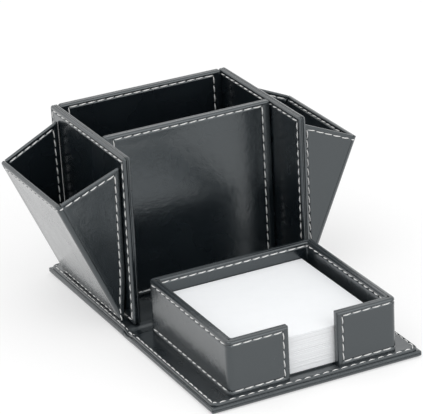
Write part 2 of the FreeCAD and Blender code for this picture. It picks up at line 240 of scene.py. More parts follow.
@dataclass(frozen=True)
class Roll:
    """The cross-section of a leather edge, from its seam over the rolled edge to the field.

    row is the distance from the edge to the stitches, or to where they would be on a plain edge.
    layer_line is the depth of the line round an edge where two layers of leather meet.
    """

    depth: float
    row: float = 2.4
    sewn: bool = True
    radius: float = 1.1
    foot: float = 0.25
    groove: float = 0.42
    groove_half: float = 0.7
    sink: float = 0.14
    swell: float = 4.0
    dimple: float = 0.22
    dimple_share: float = 0.7
    layer_line: float = 0.0
    line_half: float = 0.28

    def valley(self, past: float) -> float:
        """The depth of the sewn groove at a distance past the stitches."""
        return self.sewn * self.groove * smooth_step(1.0 - abs(past) / self.groove_half)

    def pit(self, past: float) -> float:
        """How much deeper a needle hole is at a distance past the stitches."""
        reach = self.dimple_share * self.groove_half
        return self.sewn * self.dimple * max(0.0, 1.0 - abs(past) / reach)

    def settled(self, past: float) -> float:
        """How far the leather has come down to its field at a distance past the stitches."""
        return self.sink * smooth_step(past / self.swell)

    def crisp(self, row: float) -> "Roll":
        """The same edge cut square and left unsewn, where another piece goes on from it."""
        return replace(self, row=row, sewn=False, radius=0.1, foot=0.03)

    def groove_places(self) -> list[float]:
        """The places of the points across a groove, from its middle."""
        return [self.groove_half * share for share in GROOVE_SHARES]

    def stations(self) -> list[Station]:
        """The cross-section, point by point.

        Returns:
            The stations, from the seam to the field: as many for every roll without a line.
        """
        foot = quarter_round(self.foot, FOOT_ANGLES)
        made = [Station(inset, drop - self.depth) for drop, inset in foot]
        if self.layer_line:
            level = (self.foot - self.radius - self.depth) / 2
            for past, inset in ((-1.0, 0.0), (0.0, self.layer_line), (1.0, 0.0)):
                made.append(Station(inset, level + past * self.line_half))
        made += [Station(inset, -drop) for inset, drop in quarter_round(self.radius, EDGE_ANGLES)]
        made += [
            Station(self.row + past, -self.valley(past), self.pit(past))
            for past in self.groove_places()
        ]
        bank = BANK_SHARE * self.groove_half
        for past in (bank, self.swell / 2, self.swell, self.swell + FIELD_STEP):
            made.append(Station(self.row + past, -self.settled(past)))
        return made


@dataclass(frozen=True)
class Edge:
    """One side of an outline, with the corner that it starts at.

    No ring's corner goes below the least radius.
    """

    start: tuple[float, float]
    roll: Roll
    radius: float = 1.6
    least_radius: float = 0.3


@dataclass(frozen=True)
class RingPoint:
    """A point of a ring: its place in the plane and its height over it."""

    place: Vector
    height: float


class Outline:
    """A convex outline whose edges can be moved inwards.

    Every ring of it has as many points as the others, a fixed number to each stitch, so that
    two rings can be bridged point by point and the needle holes stay in line.
    """

    samples = 4
    arc_steps = 4
    merge = PITCH / 3

    def __init__(self, edges: Sequence[Edge]) -> None:
        """Count the stitches of every edge.

        Args:
            edges: The edges, counter-clockwise as seen from outside.
        """
        self.edges = list(edges)
        self.total = len(self.edges)
        self.corners = [Vector(edge.start) for edge in edges]
        self.stations = [edge.roll.stations() for edge in edges]
        rows = [edge.roll.row for edge in edges]
        moved = self._moved(rows)
        self.counts = [
            stitch_count((following - corner).length)
            for corner, following in zip(moved, moved[1:] + moved[:1])
        ]
        self.row_arcs = self._arcs(rows)
        self.long_arcs = [(arc[-1] - arc[0]).length > PITCH / 2 for arc in self.row_arcs]

    def _along(self, number: int) -> Vector:
        """The direction of an edge."""
        number %= self.total
        return (self.corners[(number + 1) % self.total] - self.corners[number]).normalized()

    def _moved(self, reaches: Sequence[float]) -> list[Vector]:
        """The corners when the edges are moved inwards.

        Args:
            reaches: How far each edge is moved.

        Returns:
            The corners, in order.
        """
        moved = []
        for number, corner in enumerate(self.corners):
            first, second = self._along(number - 1), self._along(number)
            turn = first.x * second.y - first.y * second.x
            inward = left_of(first) * reaches[number - 1]
            slide = left_of(second) * reaches[number] - inward
            distance = (slide.x * second.y - slide.y * second.x) / turn
            moved.append(corner + inward + first * distance)
        return moved

    def _arcs(self, reaches: Sequence[float]) -> list[list[Vector]]:
        """The rounded corners when the edges are moved inwards.

        Args:
            reaches: How far each edge is moved.

        Returns:
            The points of each corner.
        """
        arcs = []
        for number, corner in enumerate(self._moved(reaches)):
            first, second = self._along(number - 1), self._along(number)
            edge = self.edges[number]
            radius = max(edge.radius - min(reaches[number - 1], reaches[number]), edge.least_radius)
            turn = math.acos(max(-1.0, min(1.0, first.dot(second))))
            inward = left_of(first)
            centre = corner - first * radius * math.tan(turn / 2) + inward * radius
            angles = [turn * step / self.arc_steps for step in range(self.arc_steps + 1)]
            arcs.append([
                centre + (first * math.sin(angle) - inward * math.cos(angle)) * radius
                for angle in angles
            ])
        return arcs

    def ring(self, stations: Sequence[Station]) -> list[RingPoint]:
        """The outline moved inwards.

        Args:
            stations: One station for each edge.

        Returns:
            The points, counter-clockwise.
        """
        arcs = self._arcs([station.distance for station in stations])
        points = []
        for number, station in enumerate(stations):
            before, arc = stations[number - 1], arcs[number]
            for step, place in enumerate(arc):
                share = step / self.arc_steps
                rise = before.rise * (1.0 - share) + station.rise * share
                dimple = before.dimple * (1.0 - share) + station.dimple * share
                at_hole = step in (0, self.arc_steps) or not self.long_arcs[number]
                points.append(RingPoint(place, rise - dimple * at_hole))
            following = arcs[(number + 1) % self.total][0]
            steps = self.counts[number] * self.samples
            for step in range(1, steps):
                at_hole = step % self.samples == 0
                place = arc[-1].lerp(following, step / steps)
                points.append(RingPoint(place, station.rise - station.dimple * at_hole))
        return points

    def station_ring(self, number: int) -> list[RingPoint]:
        """The ring at one station of every edge."""
        return self.ring([stations[number] for stations in self.stations])

    def hole_runs(self) -> list[list[Vector]]:
        """The needle holes of each unbroken run of sewn edges, in order.

        Returns:
            The runs. One that goes all the way round ends at its first hole.
        """
        sewn = [edge.roll.sewn for edge in self.edges]
        first = next((n for n in range(self.total) if sewn[n] and not sewn[n - 1]), 0)
        runs: list[list[Vector]] = []
        for offset in range(self.total):
            number = (first + offset) % self.total
            if not sewn[number]:
                continue
            if not runs or not sewn[number - 1]:
                runs.append([])
            start = self.row_arcs[number][-1]
            stop = self.row_arcs[(number + 1) % self.total][0]
            count = self.counts[number]
            holes = [start.lerp(stop, step / count) for step in range(count + 1)]
            if runs[-1] and (runs[-1][-1] - holes[0]).length < self.merge:
                holes.pop(0)
            runs[-1] += holes
        if all(sewn):
            if (runs[0][-1] - runs[0][0]).length < self.merge:
                runs[0].pop()
            runs[0].append(runs[0][0])
        return runs


def rectangle(
    across: Sequence[float],
    up: Sequence[float],
    rolls: Sequence[Roll],
    corners: Sequence[tuple[float, float]] = ((1.6, 0.3),) * 4,
) -> Outline:
    """A rectangular outline.

    Args:
        across: Its two ends across.
        up: Its two ends upwards.
        rolls: The rolls of its lower, right, upper and left edge.
        corners: The radius and the least radius of its corners, from the lowest one round.

    Returns:
        The outline.
    """
    (left, right), (low, high) = across, up
    starts = ((left, low), (right, low), (right, high), (left, high))
    edges = [Edge(start, roll, *radii) for start, roll, radii in zip(starts, rolls, corners)]
    return Outline(edges)


# ---------------------------------------------------------------- node trees
class Graph:
    """A node tree, with short ways to add nodes and link them."""

    def __init__(self, tree: bpy.types.NodeTree) -> None:
        """Take a tree.

        Args:
            tree: The tree to add to.
        """
        self.tree = tree

    def find(self, kind: str) -> bpy.types.Node:
        """The node of a type that the tree came with."""
        return next(node for node in self.tree.nodes if node.type == kind)

    def socket(self, name: str, kind: str, value: object = None, way: str = "INPUT") -> None:
        """Give the tree an input with its value, or an output."""
        made = self.tree.interface.new_socket(name, in_out=way, socket_type=f"NodeSocket{kind}")
        if value is not None:
            made.default_value = value

    def feed(self, value: object, target: Socket) -> None:
        """Fill an input.

        Args:
            value: A socket to link, or a plain value.
            target: The input.
        """
        if isinstance(value, Socket):
            self.tree.links.new(value, target)
        else:
            target.default_value = value

    def give(self, node: bpy.types.Node, **values: object) -> None:
        """Feed a node's inputs, by name with _ for a space."""
        for name, value in values.items():
            self.feed(value, node.inputs[name.replace("_", " ")])

    def node(self, kind: str, *first: object, **values: object) -> bpy.types.Node:
        """Add a node.

        Args:
            kind: The node's type.
            first: Values of its first inputs in use.
            values: Its properties, then values of its inputs, by name with _ for a space.

        Returns:
            The node.
        """
        node = self.tree.nodes.new(kind)
        properties = {name: value for name, value in values.items() if hasattr(node, name)}
        for name, value in properties.items():
            setattr(node, name, value)
        self.give(node, **{name: value for name, value in values.items() if name not in properties})
        for value, socket in zip(first, [socket for socket in node.inputs if socket.enabled]):
            self.feed(value, socket)
        return node

    def out(self, kind: str, *first: object, **values: object) -> Socket:
        """Add a node and return its first output in use."""
        node = self.node(kind, *first, **values)
        return next(socket for socket in node.outputs if socket.enabled)

    def math(self, operation: str, *values: object) -> Socket:
        """A math node's result."""
        return self.out("ShaderNodeMath", *values, operation=operation)

    def combine(self, x: object, y: object, z: object) -> Socket:
        """A vector from its three parts."""
        return self.out("ShaderNodeCombineXYZ", x, y, z)

    def own_place(self) -> Socket:
        """The place of a point in its own piece."""
        return self.node("ShaderNodeTexCoord").outputs["Object"]

    def blend(self, share: Socket, low: Color, high: Color) -> Socket:
        """A colour between two others."""
        return self.out("ShaderNodeMix", share, (*low, 1.0), (*high, 1.0), data_type="RGBA")

    def noise(self, place: object, scale: object, detail: float, roughness: float = 0.5) -> Socket:
        """The value of a noise texture."""
        values = {"Vector": place, "Scale": scale, "Detail": detail, "Roughness": roughness}
        return self.out("ShaderNodeTexNoise", **values)

    def bump(
        self, height: Socket, strength: float, distance: float, **under: Socket
    ) -> Socket:
        """A bumped normal, over one given as Normal. The distance is in millimetres."""
        sizes = {"Strength": strength, "Distance": distance * MM}
        return self.out("ShaderNodeBump", Height=height, **sizes, **under)


def place_object(name: str, data: bpy.types.ID) -> bpy.types.Object:
    """Put data in the scene as an object.

    Args:
        name: The object's name.
        data: Its mesh, lamp or camera.

    Returns:
        The object.
    """
    made = bpy.data.objects.new(name, data)
    bpy.context.scene.collection.objects.link(made)
    return made


# ---------------------------------------------------------------- finishes
@dataclass(frozen=True)
class Grain:
    """The relief that every leather shares: fine pebbles, ripples of the skin and slow waves.

    The speckle is where the pores are brighter than their level.
    """

    pebbles: float = 1500.0
    pores: float = 3800.0
    ripples: float = 230.0
    waves: float = 42.0
    softness: float = 0.7
    dome: float = -0.8
    pore_share: float = 0.25
    speckle_level: float = 0.58
    speckle_gain: float = 5.0

    def group(self) -> bpy.types.NodeTree:
        """Build the shader node group.

        Returns:
            The group, with Height, Speckle, Ripple and Wave outputs.
        """
        graph = Graph(bpy.data.node_groups.new("leather_grain", "ShaderNodeTree"))
        graph.socket("Place", "Vector")
        for name in ("pebbles", "pores", "ripples", "waves"):
            graph.socket(name.title(), "Float", getattr(self, name))
        for name in ("Height", "Speckle", "Ripple", "Wave"):
            graph.socket(name, "Float", way="OUTPUT")
        given = graph.node("NodeGroupInput").outputs
        place = given["Place"]
        pebbles = graph.out(
            "ShaderNodeTexVoronoi", feature="SMOOTH_F1", Vector=place, Scale=given["Pebbles"],
            Smoothness=self.softness,
        )
        pores = graph.noise(place, given["Pores"], detail=2.0)
        domes = graph.math("MULTIPLY", pebbles, self.dome)
        bright = graph.math("SUBTRACT", pores, self.speckle_level)
        graph.node(
            "NodeGroupOutput",
            Height=graph.math("MULTIPLY_ADD", pores, self.pore_share, domes),
            Speckle=graph.math("MULTIPLY", bright, self.speckle_gain),
            Ripple=graph.noise(place, given["Ripples"], detail=5.0, roughness=0.66),
            Wave=graph.noise(place, given["Waves"], detail=2.0),
        )
        return graph.tree


@dataclass(frozen=True)
class Finish:
    """What every finish has."""

    name: str
    color: Color

    def start(self) -> tuple[bpy.types.Material, Graph, bpy.types.Node]:
        """Start the finish.

        Returns:
            A new material, its graph and its Principled shader.
        """
        material = bpy.data.materials.new(self.name)
        material.use_nodes = True
        graph = Graph(material.node_tree)
        return material, graph, graph.find("BSDF_PRINCIPLED")


@dataclass(frozen=True)
class Leather(Finish):
    """Smooth coated leather. The three reliefs' depths are in millimetres."""

    roughness: float = 0.26
    uneven: float = 0.14
    specular: float = 0.85
    tint: Color = (0.86, 0.96, 1.0)
    coat: float = 0.72
    coat_roughness: float = 0.11
    shades: tuple[float, float] = (0.8, 1.3)
    speckle: float = 0.25
    pebbles: float = 1500.0
    grain: float = 0.3
    relief: float = 0.6
    pebble_depth: float = 0.1
    ripple_depth: float = 0.22
    wave_depth: float = 0.38

    def material(self, grain: bpy.types.NodeTree) -> bpy.types.Material:
        """Build the finish.

        Args:
            grain: The shared grain.

        Returns:
            The material.
        """
        material, graph, shader = self.start()
        skin = graph.node(
            "ShaderNodeGroup", node_tree=grain, Place=graph.own_place(), Pebbles=self.pebbles
        ).outputs
        tone = graph.math("MULTIPLY_ADD", skin["Speckle"], self.speckle, skin["Wave"])
        dark, pale = (tuple(part * share for part in self.color) for share in self.shades)
        smoothest = self.roughness - self.uneven / 2
        slow = graph.bump(skin["Wave"], self.relief, self.wave_depth)
        rippled = graph.bump(skin["Ripple"], self.relief, self.ripple_depth, Normal=slow)
        fine = graph.bump(skin["Height"], self.grain, self.pebble_depth, Normal=rippled)
        graph.give(
            shader,
            Base_Color=graph.blend(tone, dark, pale),
            Roughness=graph.math("MULTIPLY_ADD", skin["Wave"], self.uneven, smoothest),
            Specular_IOR_Level=self.specular,
            Specular_Tint=(*self.tint, 1.0),
            Coat_Weight=self.coat,
            Coat_Roughness=self.coat_roughness,
            Normal=fine,
            Coat_Normal=rippled,
        )
        return material


@dataclass(frozen=True)
class TwistedThread(Finish):
    """Two-ply sewing thread, whose twist follows each stitch. Its colour is painted darker in the
    grooves between the plies, as painted shading.
    """

    # the colour painted in the grooves between the plies: painted shading, not a second colour of
    # the thread
    shade: Color
    turns: float = 6.0
    roughness: float = 0.6
    sheen: float = 0.3

    def material(self) -> bpy.types.Material:
        """Build the finish.

        Returns:
            The material.
        """
        material, graph, shader = self.start()
        along, around = (
            graph.node("ShaderNodeAttribute", attribute_name=f"thread_{way}").outputs["Fac"]
            for way in ("along", "around")
        )
        phase = graph.math("MULTIPLY_ADD", along, self.turns, around)
        wave = graph.math("SINE", graph.math("MULTIPLY", phase, 2 * math.tau))
        ply = graph.math("MULTIPLY_ADD", wave, 0.5, 0.5)
        # ply is lowest in the grooves between the plies, where the colour goes to the painted
        # shading
        graph.give(
            shader, Base_Color=graph.blend(ply, self.shade, self.color), Roughness=self.roughness,
            Sheen_Weight=self.sheen, Normal=graph.bump(ply, strength=0.4, distance=0.1),
        )
        return material


@dataclass(frozen=True)
class Fibre(Finish):
    """Paper or pressed board: a matte sheet with fibres in it, and layers if it has any."""

    fleck: Color
    fibre_scale: float
    layer_stretch: float = 1.0
    roughness: float = 0.85
    specular: float = 0.3

    def material(self) -> bpy.types.Material:
        """Build the finish.

        Returns:
            The material.
        """
        material, graph, shader = self.start()
        stretch = (1, 1, self.layer_stretch)
        place = graph.out("ShaderNodeMapping", Vector=graph.own_place(), Scale=stretch)
        fibres = graph.noise(place, self.fibre_scale, detail=4.0, roughness=0.65)
        graph.give(
            shader, Base_Color=graph.blend(fibres, self.fleck, self.color),
            Roughness=self.roughness, Specular_IOR_Level=self.specular,
            Normal=graph.bump(fibres, strength=0.15, distance=0.08),
        )
        return material


@dataclass(frozen=True)
class PlatedSteel(Finish):
    """Bright plated steel with fine marks."""

    roughness: float = 0.28
    uneven: float = 0.16
    mark_scale: float = 700.0

    def material(self) -> bpy.types.Material:
        """Build the finish.

        Returns:
            The material.
        """
        material, graph, shader = self.start()
        marks = graph.noise(graph.own_place(), self.mark_scale, detail=4.0)
        brightest = self.roughness - self.uneven / 2
        graph.give(
            shader, Base_Color=(*self.color, 1.0), Metallic=1.0,
            Roughness=graph.math("MULTIPLY_ADD", marks, self.uneven, brightest),
        )
        return material


# ---------------------------------------------------------------- stitches
@dataclass(frozen=True)
class Stitch:
    """One stitch: the holes at its ends, and the direction that it stands out in."""

    start: Vector
    end: Vector
    up: Vector


def stitch_run(holes: Sequence[Vector], up: Vector) -> list[Stitch]:
    """The stitches from hole to hole of a run."""
    return [Stitch(*pair, up) for pair in zip(holes, holes[1:])]


@dataclass
class Thread:
    """The sewing thread, and the tree that lays one stitch on every edge of a mesh."""

    yarn: bpy.types.Material
    width: float = 0.95
    height: float = 0.6
    rise: float = 0.36
    sink: float = 0.4
    gap: float = 0.7
    slant: float = 5.0
    wander: float = 2.5
    seed: int = 7
    sides: int = 8
    segments: int = 6

    def __post_init__(self) -> None:
        """Build the tree: its named inputs, one stitch, its places and the finished mesh."""
        tree = bpy.data.node_groups.new("stitches_on_edges", "GeometryNodeTree")
        self.graph = graph = Graph(tree)
        graph.socket("Holes", "Geometry")
        sizes = {
            "Thread Width": self.width, "Thread Height": self.height, "Rise": self.rise,
            "Sink": self.sink, "Gap": self.gap,
        }
        for name, value in sizes.items():
            graph.socket(name, "Float", value * MM)
        for name, value in (("Slant", self.slant), ("Wander", self.wander)):
            graph.socket(name, "Float", math.radians(value))
        graph.socket("Seed", "Int", self.seed)
        graph.socket("Finish", "Material")
        graph.socket("Stitches", "Geometry", way="OUTPUT")
        given = graph.node("NodeGroupInput").outputs
        put = self._put(given, self._tube(given))
        real = graph.out("GeometryNodeRealizeInstances", Geometry=put)
        smooth = graph.out("GeometryNodeSetShadeSmooth", Geometry=real)
        dressed = graph.out("GeometryNodeSetMaterial", Geometry=smooth, Material=given["Finish"])
        graph.node("NodeGroupOutput", Stitches=dressed)

    def _tube(self, given: bpy.types.NodeOutputs) -> Socket:
        """One stitch, a length of one along X, which stands up along Z.

        Args:
            given: The tree's inputs.

        Returns:
            Its mesh, whose points know how far along and round the thread they are.
        """
        graph = self.graph
        sunk = graph.math("MULTIPLY", given["Sink"], -1.0)
        crest = graph.math("MULTIPLY_ADD", given["Rise"], 2.0, given["Sink"])
        bow = graph.out(
            "GeometryNodeCurveQuadraticBezier", Resolution=self.segments,
            Start=graph.combine(-0.5, 0.0, sunk), Middle=graph.combine(0.0, 0.0, crest),
            End=graph.combine(0.5, 0.0, sunk),
        )
        circle = graph.out("GeometryNodeCurvePrimitiveCircle", Resolution=self.sides, Radius=0.5)
        section = graph.combine(given["Thread Height"], given["Thread Width"], 1.0)
        oval = graph.out("GeometryNodeTransform", Geometry=circle, Scale=section)
        share = graph.out("GeometryNodeSplineParameter")
        marked = [
            graph.out(
                "GeometryNodeStoreNamedAttribute", data_type="FLOAT", domain="POINT",
                Geometry=curve, Name=f"thread_{way}", Value=share,
            )
            for curve, way in ((bow, "along"), (oval, "around"))
        ]
        return graph.out(
            "GeometryNodeCurveToMesh", Curve=marked[0], Profile_Curve=marked[1], Fill_Caps=True
        )

    def _put(self, given: bpy.types.NodeOutputs, tube: Socket) -> Socket:
        """The stitch at the middle of every edge, turned along it, with a slant of its own.

        Args:
            given: The tree's inputs.
            tube: The stitch.

        Returns:
            The instances.
        """
        graph = self.graph
        ends = graph.node("GeometryNodeInputMeshEdgeVertices").outputs
        run = graph.out(
            "ShaderNodeVectorMath", ends["Position 2"], ends["Position 1"], operation="SUBTRACT"
        )
        up = graph.out(
            "GeometryNodeInputNamedAttribute", data_type="FLOAT_VECTOR", Name="stitch_up"
        )
        turn = graph.out(
            "FunctionNodeAxesToRotation", primary_axis="X", secondary_axis="Z",
            Primary_Axis=run, Secondary_Axis=up,
        )
        capture = graph.node("GeometryNodeCaptureAttribute", domain="EDGE")
        for kind, name in (("ROTATION", "Turn"), ("FLOAT", "Length")):
            capture.capture_items.new(kind, name)
        length = graph.out("ShaderNodeVectorMath", run, operation="LENGTH")
        graph.give(capture, Geometry=given["Holes"], Turn=turn, Length=length)
        edge = capture.outputs
        centres = graph.out("GeometryNodeMeshToPoints", mode="EDGES", Mesh=edge["Geometry"])
        least = graph.math("MULTIPLY", given["Wander"], -1.0)
        own = graph.out(
            "FunctionNodeRandomValue", least, given["Wander"], data_type="FLOAT",
            Seed=given["Seed"],
        )
        slant = graph.combine(0.0, 0.0, graph.math("ADD", given["Slant"], own))
        swing = graph.out("FunctionNodeEulerToRotation", Euler=slant)
        turned = graph.out(
            "FunctionNodeRotateRotation", rotation_space="LOCAL", Rotation=edge["Turn"],
            Rotate_By=swing,
        )
        shorter = graph.math("SUBTRACT", edge["Length"], given["Gap"])
        return graph.out(
            "GeometryNodeInstanceOnPoints", Points=centres, Instance=tube, Rotation=turned,
            Scale=graph.combine(shorter, 1.0, 1.0),
        )

    def sew(self, name: str, stitches: Sequence[Stitch]) -> bpy.types.Object:
        """Make stitches into one plain mesh.

        Args:
            name: The piece's name.
            stitches: The stitches.

        Returns:
            The piece, with no modifier.
        """
        points = [tuple(place * MM) for stitch in stitches for place in (stitch.start, stitch.end)]
        edges = [(2 * number, 2 * number + 1) for number in range(len(stitches))]
        mesh = bpy.data.meshes.new(f"{name}_holes")
        mesh.from_pydata(points, edges, [])
        ups = [value for stitch in stitches for value in (*stitch.up, *stitch.up)]
        mesh.attributes.new("stitch_up", "FLOAT_VECTOR", "POINT").data.foreach_set("vector", ups)
        holes = place_object(f"{name}_holes", mesh)
        modifier = holes.modifiers.new("sew", "NODES")
        modifier.node_group = self.graph.tree
        inputs = self.graph.tree.interface.items_tree
        modifier[next(item.identifier for item in inputs if item.name == "Finish")] = self.yarn
        bpy.context.view_layer.update()
        depsgraph = bpy.context.evaluated_depsgraph_get()
        sewn = bpy.data.meshes.new_from_object(holes.evaluated_get(depsgraph), depsgraph=depsgraph)
        holes.modifiers.remove(modifier)
        bpy.data.objects.remove(holes)
        sewn.name = name
        return place_object(name, sewn)


# ---------------------------------------------------------------- surfaces
class Surface:
    """The points and faces of one piece, before they become a mesh."""

    def __init__(self) -> None:
        """Start with nothing."""
        self.points: list[Vector] = []
        self.faces: list[tuple[int, ...]] = []

    def add(self, places: Iterable[Vector]) -> list[int]:
        """Add points and return their numbers."""
        first = len(self.points)
        self.points += list(places)
        return list(range(first, len(self.points)))

    def bridge(self, outer: Sequence[int], inner: Sequence[int], closed: bool = True) -> None:
        """Join two rows of points with quads.

        Args:
            outer: The first row.
            inner: The second row, with as many points.
            closed: Whether the rows go all the way round.
        """
        for step in range(len(outer) if closed else len(outer) - 1):
            following = (step + 1) % len(outer)
            self.faces.append((outer[step], outer[following], inner[following], inner[step]))

    def tube(self, rings: Sequence[Sequence[int]]) -> None:
        """Join closed rings one to the next, and close both ends."""
        self.faces += [tuple(rings[0]), tuple(rings[-1])]
        for outer, inner in zip(rings, rings[1:]):
            self.bridge(outer, inner)

    def piece(
        self, name: str, material: bpy.types.Material, sharp: float = 42.0
    ) -> bpy.types.Object:
        """Make the mesh, with its faces outwards, and its object.

        Args:
            name: The piece's name.
            material: Its finish.
            sharp: Edges that turn by more than this many degrees stay sharp.

        Returns:
            The object, with its place in its mesh.
        """
        mesh = bpy.data.meshes.new(name)
        mesh.from_pydata([tuple(point * MM) for point in self.points], [], self.faces)
        work = bmesh.new()
        work.from_mesh(mesh)
        bmesh.ops.recalc_face_normals(work, faces=work.faces)
        work.to_mesh(mesh)
        work.free()
        mesh.materials.append(material)
        mesh.shade_smooth()
        mesh.set_sharp_from_angle(angle=math.radians(sharp))
        return place_object(name, mesh)


@dataclass
class Skin:
    """A leather skin on a flat face, closed at its back.

    A lip is how far from the edge the leather turns in over what fills a hollow back.
    """

    plane: Plane
    outline: Outline
    back: Back = Back.FLAT
    bury: float = 0.1
    lip: float | None = None
    lip_height: float = 0.06

    def _places(self, ring: Sequence[RingPoint], mirror: float | None = None) -> list[Vector]:
        """The points of a ring, mirrored to the back face if that face's level is given."""
        if mirror is None:
            return [self.plane.at(point.place, point.height) for point in ring]
        return [self.plane.at(point.place, mirror - point.height) for point in ring]

    def surface(self) -> Surface:
        """Build the skin, from its back round its edge to its face.

        Returns:
            The closed surface.
        """
        made, outline = Surface(), self.outline
        numbers = range(len(outline.stations[0]))
        floors = [-edge.roll.depth for edge in outline.edges]
        rings = []
        if self.back is Back.FACE:
            backs = [outline.station_ring(number) for number in reversed(numbers[1:])]
            rings += [self._places(ring, 2.0 * floors[0]) for ring in backs]
        elif self.back is Back.HOLLOW:
            rows = [(LEATHER, [-LEATHER] * len(floors)), (LEATHER, floors)]
            if self.lip is not None:
                under = [floor - self.lip_height for floor in floors]
                seam = outline.edges[0].roll.foot + self.lip_height
                rows += [(self.lip, floors), (self.lip, under), (seam, under)]
            for reach, levels in rows:
                rings.append(self._places(outline.ring([Station(reach, z) for z in levels])))
        rings += [self._places(outline.station_ring(number)) for number in numbers]
        made.tube([made.add(ring) for ring in rings])
        return made

    def stitches(self) -> list[Stitch]:
        """Lay the stitches in its grooves.

        Returns:
            The stitches of its face, and of its back if it has two faces.
        """
        roll = next(edge.roll for edge in self.outline.edges if edge.roll.sewn)
        under = roll.groove + self.bury
        faces = [(-under, self.plane.normal)]
        if self.back is Back.FACE:
            faces.append((under - 2.0 * roll.depth, -self.plane.normal))
        made = []
        for height, up in faces:
            for run in self.outline.hole_runs():
                made += stitch_run([self.plane.at(hole, height) for hole in run], up)
        return made


# ---------------------------------------------------------------- workshop
@dataclass
class Workshop:
    """What every sub-assembly uses: the thread, the finishes and the stitches made so far."""

    thread: Thread
    finishes: dict[Slot, bpy.types.Material]
    rows: dict[Body, list[Stitch]] = field(default_factory=dict)

    def sew(self, body: Body, stitches: Sequence[Stitch]) -> None:
        """Keep stitches for the body that they ride on."""
        self.rows.setdefault(body, []).extend(stitches)

    def dress(self, piece: bpy.types.Object, body: Body, slot: Slot | None, *nodes: str) -> None:
        """Put a piece on its body, and let it stand for nodes of the frame.

        Args:
            piece: The piece.
            body: The body that it rides on.
            slot: The record's slot that its finish comes from, if any; not used.
            nodes: The nodes that it stands for.
        """
        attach(piece, body.value)
        if nodes:
            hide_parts(*nodes)
        log.info("%s rides on %s: %d faces", piece.name, body.value, len(piece.data.polygons))

    def skin(
        self, name: str, skin: "Skin | TraySkin", body: Body, slot: Slot, node: str
    ) -> None:
        """Build a skin in place of a node, and keep its stitches.

        Args:
            name: The piece's name.
            skin: The skin.
            body: The body that it rides on.
            slot: The record's slot.
            node: The node that it stands for.
        """
        self.dress(skin.surface().piece(name, self.finishes[slot]), body, slot, node)
        self.sew(body, skin.stitches())

    def finish_rows(self) -> None:
        """Sew the rows of every body, one piece to a body."""
        for body, stitches in self.rows.items():
            self.dress(self.thread.sew(f"{body.value}_stitches", stitches), body, None)

    def finish_frame_nodes(self) -> None:
        """Give the frame's own visible nodes their finishes."""
        for name, node in frame["nodes"].items():
            slot = Slot(node.data.materials[0].name.split(".")[0])
            for number in range(len(node.data.materials)):
                node.data.materials[number] = self.finishes[slot]
            if not node.hide_render:
                log.info("%s is carried over in %s", name, slot.value)


# ---------------------------------------------------------------- sub-assemblies
@dataclass
class Plates:
    """The two base plates: a wrapped lower shell and a lining sheet on each.

    A corner is its radius and its least radius.
    """

    shop: Workshop
    row: float = 2.3
    lining_inset: float = 1.1
    lip: float = 2.2
    bury: float = 0.26
    cover_corner: tuple[float, float] = (0.5, 0.3)
    lining_corner: tuple[float, float] = (3.4, 1.8)
    square_corner: tuple[float, float] = (0.1, 0.05)

    def cover(self, node: str, name: str, body: Body) -> None:
        """Build a plate's lower shell, whose outer face lies on the table.

        Args:
            node: The node that it stands for.
            name: The piece's name.
            body: The body that it rides on.
        """
        span = Span.of(node)
        plane = Plane(Vector((0, 0, span.low.z)), -X_AXIS, Y_AXIS)
        roll = Roll(
            span.size.z, self.row, radius=1.4, foot=0.8, groove=0.62, dimple=0.08, sink=0.05,
            layer_line=0.32,
        )
        corners = [self.cover_corner] * 4
        outline = rectangle(span.ends(0, -1.0), span.ends(1), [roll] * 4, corners)
        skin = Skin(plane, outline, Back.HOLLOW, self.bury, self.lip)
        self.shop.skin(name, skin, body, Slot.COVER, node)

    def lining(self, node: str, name: str, body: Body, groove_side: End) -> None:
        """Build the lining sheet on top of a plate.

        Args:
            node: The node that it stands for.
            name: The piece's name.
            body: The body that it rides on.
            groove_side: The side by the groove, where it is cut square.
        """
        span = Span.of(node)
        plane = Plane(Vector((0, 0, span.high.z)), X_AXIS, Y_AXIS)
        row = self.row - self.lining_inset
        roll = Roll(span.size.z, row, radius=0.6, foot=0.1, groove_half=0.55, sink=0.1)
        rolls, corners = [roll] * 4, [self.lining_corner] * 4
        first = 0 if groove_side is End.FRONT else 2
        rolls[first] = roll.crisp(row)
        corners[first] = corners[first + 1] = self.square_corner
        skin = Skin(plane, rectangle(span.ends(0), span.ends(1), rolls, corners))
        self.shop.skin(name, skin, body, Slot.LINING, node)

    def build(self) -> None:
        """Build both plates."""
        plates = (("rear_plate", Body.STAND, End.FRONT), ("flap", Body.FLAP, End.REAR))
        for name, body, groove_side in plates:
            self.cover(f"{name}_cover", f"{name}_wrap", body)
            self.lining(f"{name}_lining", f"{name}_sheet", body, groove_side)


@dataclass(frozen=True)
class Layer:
    """A sheet across the groove: its size, and its two levels at a place along Y."""

    name: str
    slot: Slot
    half_width: float
    reach: float
    top: Callable[[float], float]
    bottom: Callable[[float], float]


